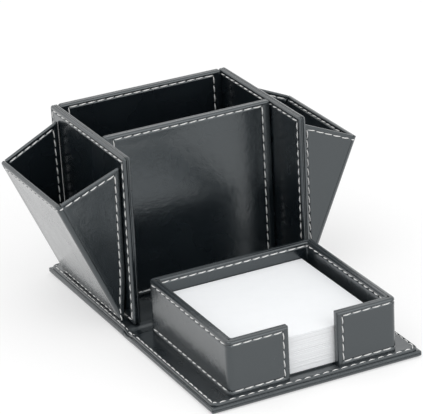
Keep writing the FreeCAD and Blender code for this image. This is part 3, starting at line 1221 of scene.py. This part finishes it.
@dataclass
class FoldStrip:
    """The soft leather between the plates.

    The covers' leather runs through below, and the linings' leather dips into the groove above.
    """

    shop: Workshop
    row: float = 1.2
    gap: float = 0.05
    lower_dip: float = 0.9
    upper_dip: float = 1.35
    flat_share: float = 0.1
    side_inset: float = 0.25
    edge_radius: float = 0.38
    hole_depth: float = 0.3
    edge_angles: tuple[float, ...] = (0.0, 30.0, 60.0, 90.0)
    steps_across: int = 28
    steps_along: int = 12

    def __post_init__(self) -> None:
        """Find the groove and the levels of what the leather runs on from."""
        self.strip = Span.of("fold_hinge_strip")
        self.cover = Span.of("rear_plate_cover")
        self.rear = Span.of("rear_plate_lining")
        self.middle = (self.rear.low.y + Span.of("flap_lining").high.y) / 2
        self.reach = self.rear.low.y - self.middle - self.gap

    def _dip(self, y: float) -> float:
        """How much of its full dip the leather has at a place, from 0 to 1."""
        share = abs(y - self.middle) / self.reach
        return smooth_step((1.0 - share) / (1.0 - self.flat_share))

    def lower_top(self, y: float) -> float:
        """The level of the covers' leather."""
        return self.cover.high.z - self.gap - self.lower_dip * self._dip(y)

    def upper_top(self, y: float) -> float:
        """The level of the linings' leather."""
        return self.rear.high.z - self.gap - self.upper_dip * self._dip(y)

    def _sections(self, half_width: float) -> list[tuple[float, float]]:
        """The cross-sections from side to side.

        Args:
            half_width: Half the sheet's width.

        Returns:
            The place of each, and how much thinner it is than the sheet, above and below.
        """
        rounded = quarter_round(self.edge_radius, self.edge_angles)
        ends = [(half_width - inset, drop) for inset, drop in rounded]
        flat = half_width - self.edge_radius
        shares = [2.0 * step / self.steps_along - 1.0 for step in range(1, self.steps_along)]
        between = [(flat * share, 0.0) for share in shares]
        return [(-x, drop) for x, drop in ends] + between + ends[::-1]

    def sheet(self, layer: Layer) -> bpy.types.Object:
        """Build a sheet with rounded side edges.

        Args:
            layer: The sheet's size and levels.

        Returns:
            The piece.
        """
        made, rings = Surface(), []
        shares = [2.0 * step / self.steps_across - 1.0 for step in range(self.steps_across + 1)]
        places = [self.middle + share * layer.reach for share in shares]
        for x, drop in self._sections(layer.half_width):
            upper = [Vector((x, y, layer.top(y) - drop)) for y in places]
            lower = [Vector((x, y, layer.bottom(y) + drop)) for y in reversed(places)]
            rings.append(made.add(upper + lower))
        made.tube(rings)
        piece = made.piece(layer.name, self.shop.finishes[layer.slot])
        return piece

    def side_rows(self) -> bpy.types.Object:
        """Sew the stitches that carry the linings' side rows through the groove.

        Returns:
            The piece.
        """
        half = self.reach + self.gap + self.row
        count = stitch_count(2.0 * half) + 1
        places = [self.middle - half + 2.0 * half * step / count for step in range(count + 1)]
        stitches = []
        for side in Side:
            x = side.value * (self.rear.high.x - self.row)
            holes = [Vector((x, y, self.upper_top(y) - self.hole_depth)) for y in places]
            stitches += stitch_run(holes, Z_AXIS)
        return self.shop.thread.sew("fold_strip_stitches", stitches)

    def build(self) -> None:
        """Build both sheets, and the side rows that cross them."""
        ledge = self.cover.high.z + self.gap
        lower = self.sheet(Layer(
            "fold_strip_leather", Slot.COVER, self.cover.high.x - self.side_inset,
            self.strip.size.y / 2 - self.gap, self.lower_top, lambda y: self.strip.low.z,
        ))
        upper = self.sheet(Layer(
            "fold_strip_lining", Slot.LINING, self.rear.high.x, self.reach, self.upper_top,
            lambda y: min(ledge, self.lower_top(y) + 2.0 * self.gap),
        ))
        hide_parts("fold_hinge_strip")
        for soft in (lower, upper, self.side_rows()):
            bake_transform(soft)
            log.info("%s bends between the plates", soft.name)


@dataclass
class PenBox:
    """The side walls, and the front and rear panel between them.

    Rows are those of the stitches at the foot, the sides and the top.
    """

    shop: Workshop
    wall_rows: tuple[float, float, float] = (2.2, 2.4, 2.4)
    panel_rows: tuple[float, float, float] = (2.2, 4.9, 2.1)
    edge_radius: float = 1.15
    seam_radius: float = 0.42
    outer_line: float = 0.5

    def half(self, node: str, name: str, axis: int, way: int, slot: Slot, **edge: float) -> None:
        """Build one skin of a wall or a panel.

        Args:
            node: The node that it stands for.
            name: The piece's name.
            axis: The axis that it faces along: 0 for a wall, along X, and 1 for a panel, along Y.
            way: 1 if it faces up that axis, and -1 if down.
            slot: The record's slot.
            edge: What else its rolls have.
        """
        span = Span.of(node)
        plane, across = span.upright(axis, way), 1 - axis
        rows = self.panel_rows if axis else self.wall_rows
        foot, side, top = (
            Roll(span.size[axis], row, radius=self.edge_radius, **edge) for row in rows
        )
        ends = span.ends(across, plane.across[across])
        outline = rectangle(ends, span.ends(2), [foot, side, top, side])
        self.shop.skin(name, Skin(plane, outline, Back.HOLLOW), Body.STAND, slot, node)

    def build(self) -> None:
        """Build both walls, then both panels."""
        for side in Side:
            wall, foot = f"{side.word}_wall", self.seam_radius
            self.half(
                f"{wall}_outer_cover", f"{wall}_outer_leather", 0, side.value, Slot.COVER,
                foot=foot, layer_line=self.outer_line,
            )
            self.half(
                f"{wall}_inner_cover", f"{wall}_inner_leather", 0, -side.value, Slot.LINING,
                foot=foot,
            )
        for end in End:
            for half, way, slot in (
                ("cover", end.value, Slot.COVER), ("lining", -end.value, Slot.LINING)
            ):
                name = f"{end.word}_panel_{End(way).word}_leather"
                self.half(f"{end.word}_panel_{half}", name, 1, way, slot)


@dataclass
class Pocket:
    """A side pocket: a leaning outer panel and a gusset at each end of it.

    Its top row goes on over both corners in two stitches each: the first one's holes lie as deep
    as corner_depths, and the second lies on the panel's end.
    """

    shop: Workshop
    side: Side
    gusset_row: float
    flare: float
    lean: float = 23.8
    thickness: float = 2.8
    cover_depth: float = 1.5
    top_row: float = 2.3
    bottom_row: float = 1.7
    end_row: float = 3.15
    edge_radius: float = 1.1
    bottom_radius: float = 0.9
    end_radius: float = 2.4
    least_flat: float = 0.3
    seam: float = 0.05
    corner: tuple[float, float] = (0.9, 0.3)
    corner_inset: float = 0.7
    corner_depths: tuple[float, float] = (0.5, 0.75)
    wrap_bury: float = 0.2
    wrap_depth: float = 0.9

    def __post_init__(self) -> None:
        """Work out the panel's directions and size from its hinge and its cover."""
        self.name = f"{self.side.word}_pocket"
        self.body = Body(self.name)
        self.joint = f"{self.name}_fold"
        hinge = next(joint["pos_m"] for joint in frame["joints"] if joint["name"] == self.joint)
        self.hinge = Vector((hinge[0] / MM, 0.0, hinge[2] / MM))
        self.sine = math.sin(math.radians(self.lean))
        self.cosine = math.cos(math.radians(self.lean))
        outwards = X_AXIS * self.side.value
        self.rise = outwards * self.sine + Z_AXIS * self.cosine
        self.face = outwards * self.cosine - Z_AXIS * self.sine
        self.cover = Span.of(f"{self.name}_cover")
        height = self.cover.high.z - self.hinge.z - self.cover_depth * self.sine
        self.length = height / self.cosine
        self.wall_face = Span.of(f"{self.side.word}_wall_outer_cover").face(0, self.side.value)

    def panel_half(self, outwards: bool) -> None:
        """Build one skin of the panel.

        Args:
            outwards: Whether it is the outer one, which wraps the panel's ends.
        """
        normal = self.face if outwards else -self.face
        start = self.hinge if outwards else self.hinge - self.face * self.thickness
        plane = Plane(start, self.rise.cross(normal), self.rise)
        ends = self.cover.ends(1, plane.across.y)
        depth = self.cover_depth if outwards else self.thickness - self.cover_depth
        radius = min(self.edge_radius, depth - self.least_flat)
        top = Roll(depth, self.top_row, radius=radius, foot=0.2)
        if outwards:
            node, half, slot = "cover", "outer", Slot.COVER
            bottom = replace(top, row=self.bottom_row, radius=self.bottom_radius)
            end = Roll(
                self.thickness - self.seam, self.end_row, sewn=False, radius=self.end_radius,
                foot=self.seam,
            )
            self.shop.sew(self.body, self.corner_stitches(plane, ends))
        else:
            node, half, slot = "lining", "inner", Slot.LINING
            ends = [ends[0] + LEATHER, ends[1] - LEATHER]
            bottom = replace(top, sewn=False)
            end = replace(bottom, radius=self.least_flat)
        outline = rectangle(ends, (0.0, self.length), [bottom, end, top, end], [self.corner] * 4)
        skin, name = Skin(plane, outline, Back.HOLLOW), f"{self.name}_{half}_leather"
        self.shop.skin(name, skin, self.body, slot, f"{self.name}_{node}")

    def corner_stitches(self, plane: Plane, ends: Sequence[float]) -> list[Stitch]:
        """The stitches that carry the top row over both corners to the gussets.

        Args:
            plane: The outer face.
            ends: Its ends along the plane.

        Returns:
            Two stitches at each end: one up to the corner, and one on the end face.
        """
        made = []
        height = self.length - self.top_row
        for end, inward in zip(ends, (1.0, -1.0)):
            insets = zip((self.end_row, self.corner_inset), self.corner_depths)
            holes = [
                plane.at(Vector((end + inward * inset, height)), -depth) for inset, depth in insets
            ]
            made.append(Stitch(*holes, plane.normal))
            outside = plane.across * -inward
            edge = plane.at(Vector((end, height))) - outside * self.wrap_bury
            depths = (self.wrap_depth, self.thickness + self.wrap_depth)
            made.append(Stitch(*(edge - plane.normal * depth for depth in depths), outside))
        return made

    def build(self) -> None:
        """Build the panel's two skins and both gussets."""
        self.panel_half(outwards=True)
        self.panel_half(outwards=False)
        for end in End:
            Gusset(self, end).build()


@dataclass
class Gusset:
    """A soft gusset between a pocket's panel and the wall.

    It is laid out flat and then draped: its toe stands off the wall, and its top flares.
    """

    pocket: Pocket
    end: End
    panel_row: float = 1.2
    wall_gap: float = 0.06
    panel_gap: float = 0.08
    toe_offset: float = 1.5
    toe_height: float = 30.0
    toe_tuck: float = 0.45
    toe_inset: float = 0.7
    toe_rise: float = 1.0
    hole_depth: float = 0.3
    folded_share: float = 0.07
    tip_corner: float = 0.4
    crown_corner: float = 0.8
    head_corner: float = 0.3

    def __post_init__(self) -> None:
        """Find the corners of the flat gusset: its tip, its crown by the wall and its head."""
        pocket = self.pocket
        self.node = f"{pocket.name}_{self.end.word}_gusset"
        self.span = Span.of(self.node)
        self.plane = self.span.upright(1, self.end.value)
        wall_x = pocket.wall_face + pocket.side.value * self.wall_gap
        inner = pocket.hinge - pocket.face * (pocket.thickness + self.panel_gap)
        self.tip = inner + pocket.rise * ((wall_x - inner.x) / pocket.rise.x)
        self.head = inner + pocket.rise * pocket.length
        self.crown = self.head - pocket.face * ((wall_x - self.head.x) / -pocket.face.x)

    def outline(self) -> Outline:
        """Lay out the flat gusset.

        Returns:
            Its outline, with a row by the wall and one along the top.
        """
        at_wall = Roll(
            self.span.size.y / 2, self.pocket.gusset_row, radius=0.9, foot=0.05, groove=0.3,
            dimple=0.12, sink=0.06, swell=2.4,
        )
        at_top = replace(at_wall, row=self.pocket.top_row)
        at_panel = at_wall.crisp(self.panel_row)
        tip = (self.tip, self.tip_corner)
        crown = (self.crown, self.crown_corner)
        head = (self.head, self.head_corner)
        corners = [(*tip, at_wall), (*crown, at_top), (*head, at_panel)]
        if self.plane.across.x * self.pocket.side.value > 0:
            corners = [(*tip, at_panel), (*head, at_top), (*crown, at_wall)]
        return Outline([
            Edge((corner.x * self.plane.across.x, corner.z), roll, radius)
            for corner, radius, roll in corners
        ])

    def drape(self, place: Vector, tuck: float) -> Vector:
        """Where a point of the flat gusset goes.

        Args:
            place: The point.
            tuck: How far the toe goes behind the panel's end.

        Returns:
            The draped point.
        """
        height = max(0.0, place.z - self.tip.z)
        width = max(1.0, height * math.tan(math.radians(self.pocket.lean)))
        from_wall = min(1.0, abs(place.x - self.tip.x) / width)
        toe = 1.0 - smooth_step(height / self.toe_height)
        tall = self.crown.z - self.tip.z
        flare = self.pocket.flare * height / tall * (1.0 - from_wall)
        out = self.pocket.side.value * self.toe_offset * toe
        return place + Vector((out, self.end.value * (flare - toe * tuck), 0.0))

    def toe_stitches(self) -> list[Stitch]:
        """The stitches that carry the row by the wall on down to the plate.

        Returns:
            The stitches, from the lowest one up to the row's last hole.
        """
        pocket, plane = self.pocket, self.plane
        side, row = pocket.side.value, pocket.gusset_row
        rise = (row * pocket.cosine + self.panel_row) / pocket.sine - self.toe_rise
        foot_x = pocket.hinge.x - side * (self.toe_inset + self.toe_offset)
        run_x = self.tip.x + side * row - foot_x
        count = stitch_count(rise)
        holes = []
        for step in range(count + 1):
            share = step / count
            x, z = foot_x + run_x * share, self.tip.z + self.toe_rise + rise * share
            flat = plane.at(Vector((x * plane.across.x, z)), -self.hole_depth)
            holes.append(self.drape(flat, tuck=0.0))
        return stitch_run(holes, plane.normal)

    def build(self) -> None:
        """Build the leather and its stitches."""
        shop, tuck = self.pocket.shop, self.toe_tuck
        skin = Skin(self.plane, self.outline(), Back.FACE)
        made = skin.surface()
        made.points = [self.drape(place, tuck) for place in made.points]
        stitches = [
            Stitch(self.drape(one.start, tuck), self.drape(one.end, tuck), one.up)
            for one in skin.stitches()
        ]
        piece = made.piece(f"{self.node}_leather", shop.finishes[Slot.COVER])
        sewing = shop.thread.sew(f"{self.node}_stitches", stitches + self.toe_stitches())
        shop.dress(piece, Body.STAND, Slot.COVER, self.node)
        shop.dress(sewing, Body.STAND, None)
        for soft in (piece, sewing):
            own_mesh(soft)


@dataclass(frozen=True)
class Column:
    """An upright line of a tray wall: its place in plan and the direction into the wall."""

    place: Vector
    inward: Vector
    from_notch: float = math.inf
    hole: bool = False

    def at(self, depth: float, z: float) -> Vector:
        """A point of the wall by its depth behind the face and its height."""
        flat = self.place + self.inward * depth
        return Vector((flat.x, flat.y, z))


@dataclass(frozen=True)
class Level:
    """A height of a tray wall, which may be that of a needle hole in an upright row."""

    z: float
    hole: bool = False


@dataclass
class TraySkin:
    """The outer or inner leather of the tray: one sheet, bent round four corners.

    It is open at the finger notch. A wall of leather lies in front of a hollow for the boards,
    and the hollow is closed at the rim and at the ends by the notch.
    """

    half_width: float
    front: float
    rear: float
    bottom: float
    top: float
    notch: float
    depth: float
    radius: float
    roll: Roll
    outer: bool
    top_row: float = 2.2
    bottom_row: float = 2.3
    notch_row: float = 3.0
    end_radius: float = 1.0
    end_places: tuple[float, ...] = (0.0, 0.2, 0.5)
    end_wall: float = 0.1
    bury: float = 0.1
    samples: int = 4
    arc_steps: int = 5

    def __post_init__(self) -> None:
        """Find the heights of its rows of stitches, and its lines."""
        self.low, self.high = self.bottom + self.bottom_row, self.top - self.top_row
        self.columns = self._columns()

    def _levels(self) -> list[Level]:
        """The heights of the rows of points up to the rolled edge.

        Returns:
            The heights, from the bottom up.
        """
        low, high, half = self.low, self.high, self.roll.groove_half
        made = [Level(self.bottom), Level((self.bottom + low - half) / 2)]
        made += [Level(low + past, past == 0) for past in self.roll.groove_places()]
        steps = stitch_count(high - low) * self.samples
        for step in range(1, steps):
            z = low + (high - low) * step / steps
            if low + half < z < high - half:
                made.append(Level(z, step % self.samples == 0))
        return made + [Level(high + past, past == 0) for past in self.roll.groove_places()]

    def _run(self, length: float, from_notch: bool, to_notch: bool) -> list[tuple[float, bool]]:
        """The lines of a straight run, which are closer together at the notch.

        Args:
            length: The run's length.
            from_notch: Whether it starts at the notch.
            to_notch: Whether it ends there.

        Returns:
            How far along it each line is, and whether that has a needle hole.
        """
        near = [*self.end_places, LEATHER, self.end_radius]
        near += [self.notch_row + past for past in self.roll.groove_places()]
        start = self.notch_row if from_notch else 0.0
        stop = length - self.notch_row if to_notch else length
        steps = stitch_count(stop - start) * self.samples
        made = [
            (start + (stop - start) * step / steps, step % self.samples == 0)
            for step in range(steps + 1)
        ]
        if from_notch:
            made = [(place, place == self.notch_row) for place in near] + made[1:]
        if to_notch:
            ends = [(length - place, place == self.notch_row) for place in reversed(near)]
            made = made[:-1] + ends
        return made

    def _columns(self) -> list[Column]:
        """The upright lines, from one end at the notch round to the other.

        Returns:
            The lines, from left to right as seen from in front of the face.
        """
        x, front, rear, notch = self.half_width, self.front, self.rear, self.notch
        corners = [(notch, front), (x, front), (x, rear), (-x, rear), (-x, front), (-notch, front)]
        points = [Vector(corner) for corner in corners]
        into = 1.0 if self.outer else -1.0
        made, last = [], len(points) - 2
        for number in range(last + 1):
            along = (points[number + 1] - points[number]).normalized()
            left = left_of(along)
            start = points[number] + along * (self.radius if number else 0.0)
            stop = points[number + 1] - along * (self.radius if number < last else 0.0)
            length = (stop - start).length
            for distance, hole in self._run(length, number == 0, number == last):
                ends = {0: distance, last: length - distance}
                from_notch = ends.get(number, math.inf)
                made.append(Column(start + along * distance, left * into, from_notch, hole))
            if number < last:
                centre = stop + left * self.radius
                for step in range(1, self.arc_steps):
                    turned = left.copy()
                    turned.rotate(Matrix.Rotation(math.pi / 2 * step / self.arc_steps, 2))
                    made.append(Column(centre - turned * self.radius, turned * into))
        return made if self.outer else made[::-1]

    def _depth(self, column: Column, level: Level) -> float:
        """How far a point of the face lies inside the flat wall.

        Args:
            column: The point's line.
            level: Its height.

        Returns:
            The depth.
        """
        across = column.from_notch - self.notch_row
        upright = min(level.z - self.low, self.high - level.z)
        past = min(across, upright)
        on_hole = level.hole if across < upright else column.hole
        made = self.roll.valley(past) + self.roll.settled(past) + self.roll.pit(past) * on_hole
        return max(made, self._end_depth(column))

    def _end_depth(self, column: Column) -> float:
        """How far the face stands back where it rounds into the notch."""
        rest = max(0.0, self.end_radius - column.from_notch)
        return self.end_radius - math.sqrt(self.end_radius**2 - rest * rest)

    def _rim(self) -> list[tuple[float, float]]:
        """The cross-section of the rolled edge.

        Returns:
            The depth and the height of each point, from the face to the back.
        """
        rounded = quarter_round(self.roll.radius, EDGE_ANGLES)
        rolled = [(inset, self.top - drop) for inset, drop in rounded]
        foot = self.roll.foot
        return rolled + [(self.depth - foot, self.top), (self.depth, self.top - foot)]

    def surface(self) -> Surface:
        """Build the sheet.

        Returns:
            The closed surface.
        """
        made, columns = Surface(), self.columns

        def row(depth: float, z: float, wall: float = 0.0) -> list[int]:
            """Add a row at one depth, which stays that far behind the end by the notch."""
            ends = [self._end_depth(column) + wall for column in columns]
            return made.add(column.at(max(depth, end), z) for column, end in zip(columns, ends))

        def join(first: list[int], second: list[int], part: slice = slice(None)) -> None:
            """Join a part of two rows."""
            made.bridge(first[part], second[part], closed=False)

        rows = [
            made.add(column.at(self._depth(column, level), level.z) for column in columns)
            for level in self._levels()
        ]
        rows += [row(depth, z) for depth, z in self._rim()]
        ledge = self.top - LEATHER
        back_top, back_foot = (row(self.depth, z) for z in (ledge, self.bottom))
        wall_top, wall_foot = (row(LEATHER, z, self.end_wall) for z in (ledge, self.bottom))
        for lower, upper in zip(rows, rows[1:] + [back_top]):
            join(lower, upper)
        join(wall_foot, rows[0])
        inside = [n for n, column in enumerate(columns) if column.from_notch >= LEATHER]
        first, last = inside[0], inside[-1]
        middle = slice(first, last + 1)
        join(back_top, wall_top, middle)
        join(wall_top, wall_foot, middle)
        for block in (slice(0, first + 1), slice(last, len(columns))):
            join(back_top, back_foot, block)
            join(back_foot, wall_foot, block)
        hollow = (back_top, back_foot, wall_foot, wall_top)
        ends = (*rows, back_top, back_foot, wall_foot)
        for loop, numbers in ((hollow, (first, last)), (ends, (0, -1))):
            made.faces += [tuple(line[number] for line in loop) for number in numbers]
        return made

    def stitches(self) -> list[Stitch]:
        """Lay the stitches of its rows. Only the outer leather has one at its foot.

        Returns:
            The stitches.
        """
        under = self.roll.groove + self.bury
        low, high = self.low, self.high
        holed = [c for c in self.columns if c.hole and c.from_notch >= self.notch_row - TOUCH]
        made = []
        for z in (low, high) if self.outer else (high,):
            for first, second in zip(holed, holed[1:]):
                up = -(first.inward + second.inward).normalized().to_3d()
                made.append(Stitch(first.at(under, z), second.at(under, z), up))
        count = stitch_count(high - low)
        for column in (holed[0], holed[-1]):
            heights = [low + (high - low) * step / count for step in range(count + 1)]
            made += stitch_run([column.at(under, z) for z in heights], -column.inward.to_3d())
        return made


@dataclass
class Tray:
    """The memo tray on the flap, open at its finger notch."""

    shop: Workshop
    corner: float = 3.0
    inner_corner: float = 0.9
    edge_radius: float = 1.3
    inner_edge_radius: float = 0.9
    groove_half: float = 0.75

    def build(self) -> None:
        """Build the leather round the outside and the lining within."""
        cover, lining, floor, board = (
            Span.of(f"tray_{name}") for name in ("cover", "lining", "floor", "front_right_board")
        )
        notch = board.low.x - LEATHER
        roll = Roll(depth=0.0, radius=self.edge_radius, groove_half=self.groove_half)
        outer = TraySkin(
            half_width=cover.high.x, front=cover.low.y, rear=cover.high.y, bottom=cover.low.z,
            top=cover.high.z, notch=notch, depth=lining.low.y - cover.low.y, radius=self.corner,
            roll=roll, outer=True,
        )
        inner = TraySkin(
            half_width=floor.high.x, front=floor.low.y, rear=floor.high.y, bottom=lining.low.z,
            top=lining.high.z, notch=notch, depth=floor.low.y - lining.low.y,
            radius=self.inner_corner, roll=replace(roll, radius=self.inner_edge_radius),
            outer=False,
        )
        for name, skin, slot, node in (
            ("tray_outer_leather", outer, Slot.COVER, "tray_cover"),
            ("tray_inner_leather", inner, Slot.LINING, "tray_lining"),
        ):
            self.shop.skin(name, skin, Body.FLAP, slot, node)


@dataclass
class MemoBlock:
    """The paper block in the tray: bundles of sheets that lie a little unevenly.

    A bundle's side goes up straight between the two shares of its height.
    """

    shop: Workshop
    bundles: int = 40
    wander: float = 0.08
    crease: float = 0.03
    side: tuple[float, float] = (0.3, 0.85)
    top_inset: float = 0.1
    sharp: float = 30.0
    seed: int = 11
    steps: int = 10

    def _ring(self, span: Span, insets: Sequence[float], z: float) -> list[Vector]:
        """The outline of a sheet.

        Args:
            span: The block.
            insets: How far each side is moved in.
            z: The sheet's height.

        Returns:
            The points, counter-clockwise.
        """
        left, right = span.low.x + insets[0], span.high.x - insets[2]
        front, rear = span.low.y + insets[1], span.high.y - insets[3]
        places = ((left, front), (right, front), (right, rear), (left, rear))
        corners = [Vector(place) for place in places]
        shares = [step / self.steps for step in range(self.steps)]
        return [
            Vector((*corner.lerp(following, share), z))
            for corner, following in zip(corners, corners[1:] + corners[:1]) for share in shares
        ]

    def build(self) -> None:
        """Build the whole block as one closed mesh."""
        span = Span.of("memo_paper_block")
        draws = random.Random(self.seed)
        made, rings = Surface(), []
        thickness = span.size.z / self.bundles
        for number in range(self.bundles):
            insets = [draws.uniform(0.0, self.wander) for _ in range(4)]
            creased = [inset + self.crease for inset in insets]
            z = span.low.z + thickness * number
            for reach, share in ((creased, 0.0), *((insets, share) for share in self.side)):
                rings.append(made.add(self._ring(span, reach, z + thickness * share)))
        rings.append(made.add(self._ring(span, [self.top_inset] * 4, span.high.z)))
        made.tube(rings)
        piece = made.piece("memo_sheets", self.shop.finishes[Slot.PAPER], self.sharp)
        self.shop.dress(piece, Body.MEMO, Slot.PAPER, "memo_paper_block")


# ---------------------------------------------------------------- the room
@dataclass(frozen=True)
class Lamp:
    """A soft square lamp that looks at the object. Its place and size are in metres."""

    name: str
    place: tuple[float, float, float]
    size: float
    power: float

    def build(self, aim: Vector) -> None:
        """Build the lamp.

        Args:
            aim: The place that it looks at, in metres.
        """
        light = bpy.data.lights.new(self.name, "AREA")
        light.shape, light.size, light.energy = "SQUARE", self.size, self.power
        lamp = place_object(self.name, light)
        lamp.location = self.place
        lamp.rotation_euler = (aim - lamp.location).to_track_quat("-Z", "Y").to_euler()


@dataclass
class Room:
    """The pale floor, the soft lamps and the camera.

    Half the floor's width and the camera's clipping distances are in metres.
    """

    floor_half: float = 4.0
    floor_drop: float = 0.3
    floor_color: Color = (0.52, 0.52, 0.52)
    floor_glow: float = 0.48
    ambient: float = 0.88
    lamps: tuple[Lamp, ...] = (
        Lamp("key_lamp", (-0.7, -0.5, 1.5), 1.2, 6.0),
        Lamp("fill_lamp", (0.5, -1.5, 0.9), 1.4, 7.0),
    )
    yaw: float = -25.83
    pitch: float = 23.14
    roll: float = -3.02
    distance: float = 1350.0
    focal_pixels: float = 2566.2
    sensor_width: float = 36.0
    clipping: tuple[float, float] = (0.05, 20.0)
    offset_across: float = -6.42
    offset_up: float = 19.32
    aim: tuple[float, float, float] = (0.0, 0.35, 40.0)

    def _seen_rays(self, graph: Graph) -> Socket:
        """One for the rays of the camera and of mirrors and glass, and zero for the others."""
        path = graph.node("ShaderNodeLightPath").outputs
        seen = graph.math("MAXIMUM", path["Is Camera Ray"], path["Is Glossy Ray"])
        return graph.math("MAXIMUM", seen, path["Is Transmission Ray"])

    def build_world(self) -> None:
        """Build a white surround that lights the object softly."""
        world = bpy.data.worlds.new("studio")
        world.use_nodes = True
        bpy.context.scene.world = world
        graph = Graph(world.node_tree)
        rest = graph.math("MULTIPLY_ADD", self._seen_rays(graph), 1.0 - self.ambient, self.ambient)
        graph.give(graph.find("BACKGROUND"), Color=WHITE, Strength=rest)

    def build_floor(self) -> None:
        """Build a pale floor that keeps the object's shadow."""
        material = bpy.data.materials.new("studio_floor")
        material.use_nodes = True
        graph = Graph(material.node_tree)
        material.node_tree.nodes.clear()
        matte = graph.out("ShaderNodeBsdfDiffuse", Color=(*self.floor_color, 1.0))
        strength = graph.math("MULTIPLY", self._seen_rays(graph), self.floor_glow)
        glow = graph.out("ShaderNodeEmission", Color=WHITE, Strength=strength)
        both = graph.out("ShaderNodeAddShader", matte, glow)
        graph.node("ShaderNodeOutputMaterial", Surface=both)
        mesh = bpy.data.meshes.new("studio_floor")
        half, z = self.floor_half, -self.floor_drop * MM
        corners = [(-half, -half, z), (half, -half, z), (half, half, z), (-half, half, z)]
        mesh.from_pydata(corners, [], [(0, 1, 2, 3)])
        mesh.materials.append(material)
        place_object("studio_floor", mesh)

    def build_camera(self) -> None:
        """Build the camera at its measured place."""
        yaw, pitch, roll = (math.radians(value) for value in (self.yaw, self.pitch, self.roll))
        level = Vector((math.cos(yaw), math.sin(yaw), 0.0))
        forth = Vector((-math.sin(yaw), math.cos(yaw), 0.0))
        back = Z_AXIS * math.sin(pitch) - forth * math.cos(pitch)
        upright = back.cross(level)
        across = level * math.cos(roll) + upright * math.sin(roll)
        up = upright * math.cos(roll) - level * math.sin(roll)
        place = Vector(self.aim) + back * self.distance
        place += across * self.offset_across + up * self.offset_up
        data = bpy.data.cameras.new("camera")
        data.sensor_width = self.sensor_width
        data.lens = self.focal_pixels * self.sensor_width / IMAGE_WIDTH
        data.clip_start, data.clip_end = self.clipping
        camera = place_object("camera", data)
        axes = Matrix((across, up, back)).transposed()
        camera.matrix_world = Matrix.Translation(place * MM) @ axes.to_4x4()
        bpy.context.scene.camera = camera

    def build(self) -> None:
        """Build everything round the object."""
        bpy.context.scene.view_settings.view_transform = "Standard"
        self.build_world()
        self.build_floor()
        for lamp in self.lamps:
            lamp.build(Vector(self.aim) * MM)
        self.build_camera()


def make_workshop() -> Workshop:
    """Make the thread and every finish.

    Returns:
        The workshop.
    """
    grain = Grain().group()
    cover = Leather("black_cover_leather", (0.0065, 0.0096, 0.0122))
    lining = Leather("black_lining_leather", (0.0062, 0.009, 0.0116), grain=0.26, roughness=0.28)
    board = Fibre("grey_pressed_board", (0.34, 0.32, 0.29), (0.2, 0.19, 0.17), 900.0)
    paper = Fibre(
        "white_paper", (0.93, 0.945, 0.96), (0.885, 0.9, 0.915), 160.0, layer_stretch=40.0
    )
    steel = PlatedSteel("plated_steel_finish", (0.72, 0.72, 0.74))
    # the second colour is painted shading for the grooves between the thread's plies
    yarn = TwistedThread("white_thread", (0.93, 0.93, 0.92), (0.7, 0.7, 0.69))
    finishes = {
        Slot.COVER: cover.material(grain),
        Slot.LINING: lining.material(grain),
        Slot.BOARD: board.material(),
        Slot.PAPER: paper.material(),
        Slot.STEEL: steel.material(),
    }
    return Workshop(Thread(yarn.material()), finishes)


def main() -> None:
    """Build every piece in order."""
    logging.basicConfig(level=logging.INFO, format="%(message)s")
    Room().build()
    shop = make_workshop()
    Plates(shop).build()
    FoldStrip(shop).build()
    PenBox(shop).build()
    Pocket(shop, Side.LEFT, gusset_row=2.8, flare=3.0).build()
    Pocket(shop, Side.RIGHT, gusset_row=4.4, flare=0.6).build()
    Tray(shop).build()
    MemoBlock(shop).build()
    shop.finish_rows()
    shop.finish_frame_nodes()


if __name__ == "__main__":
    main()
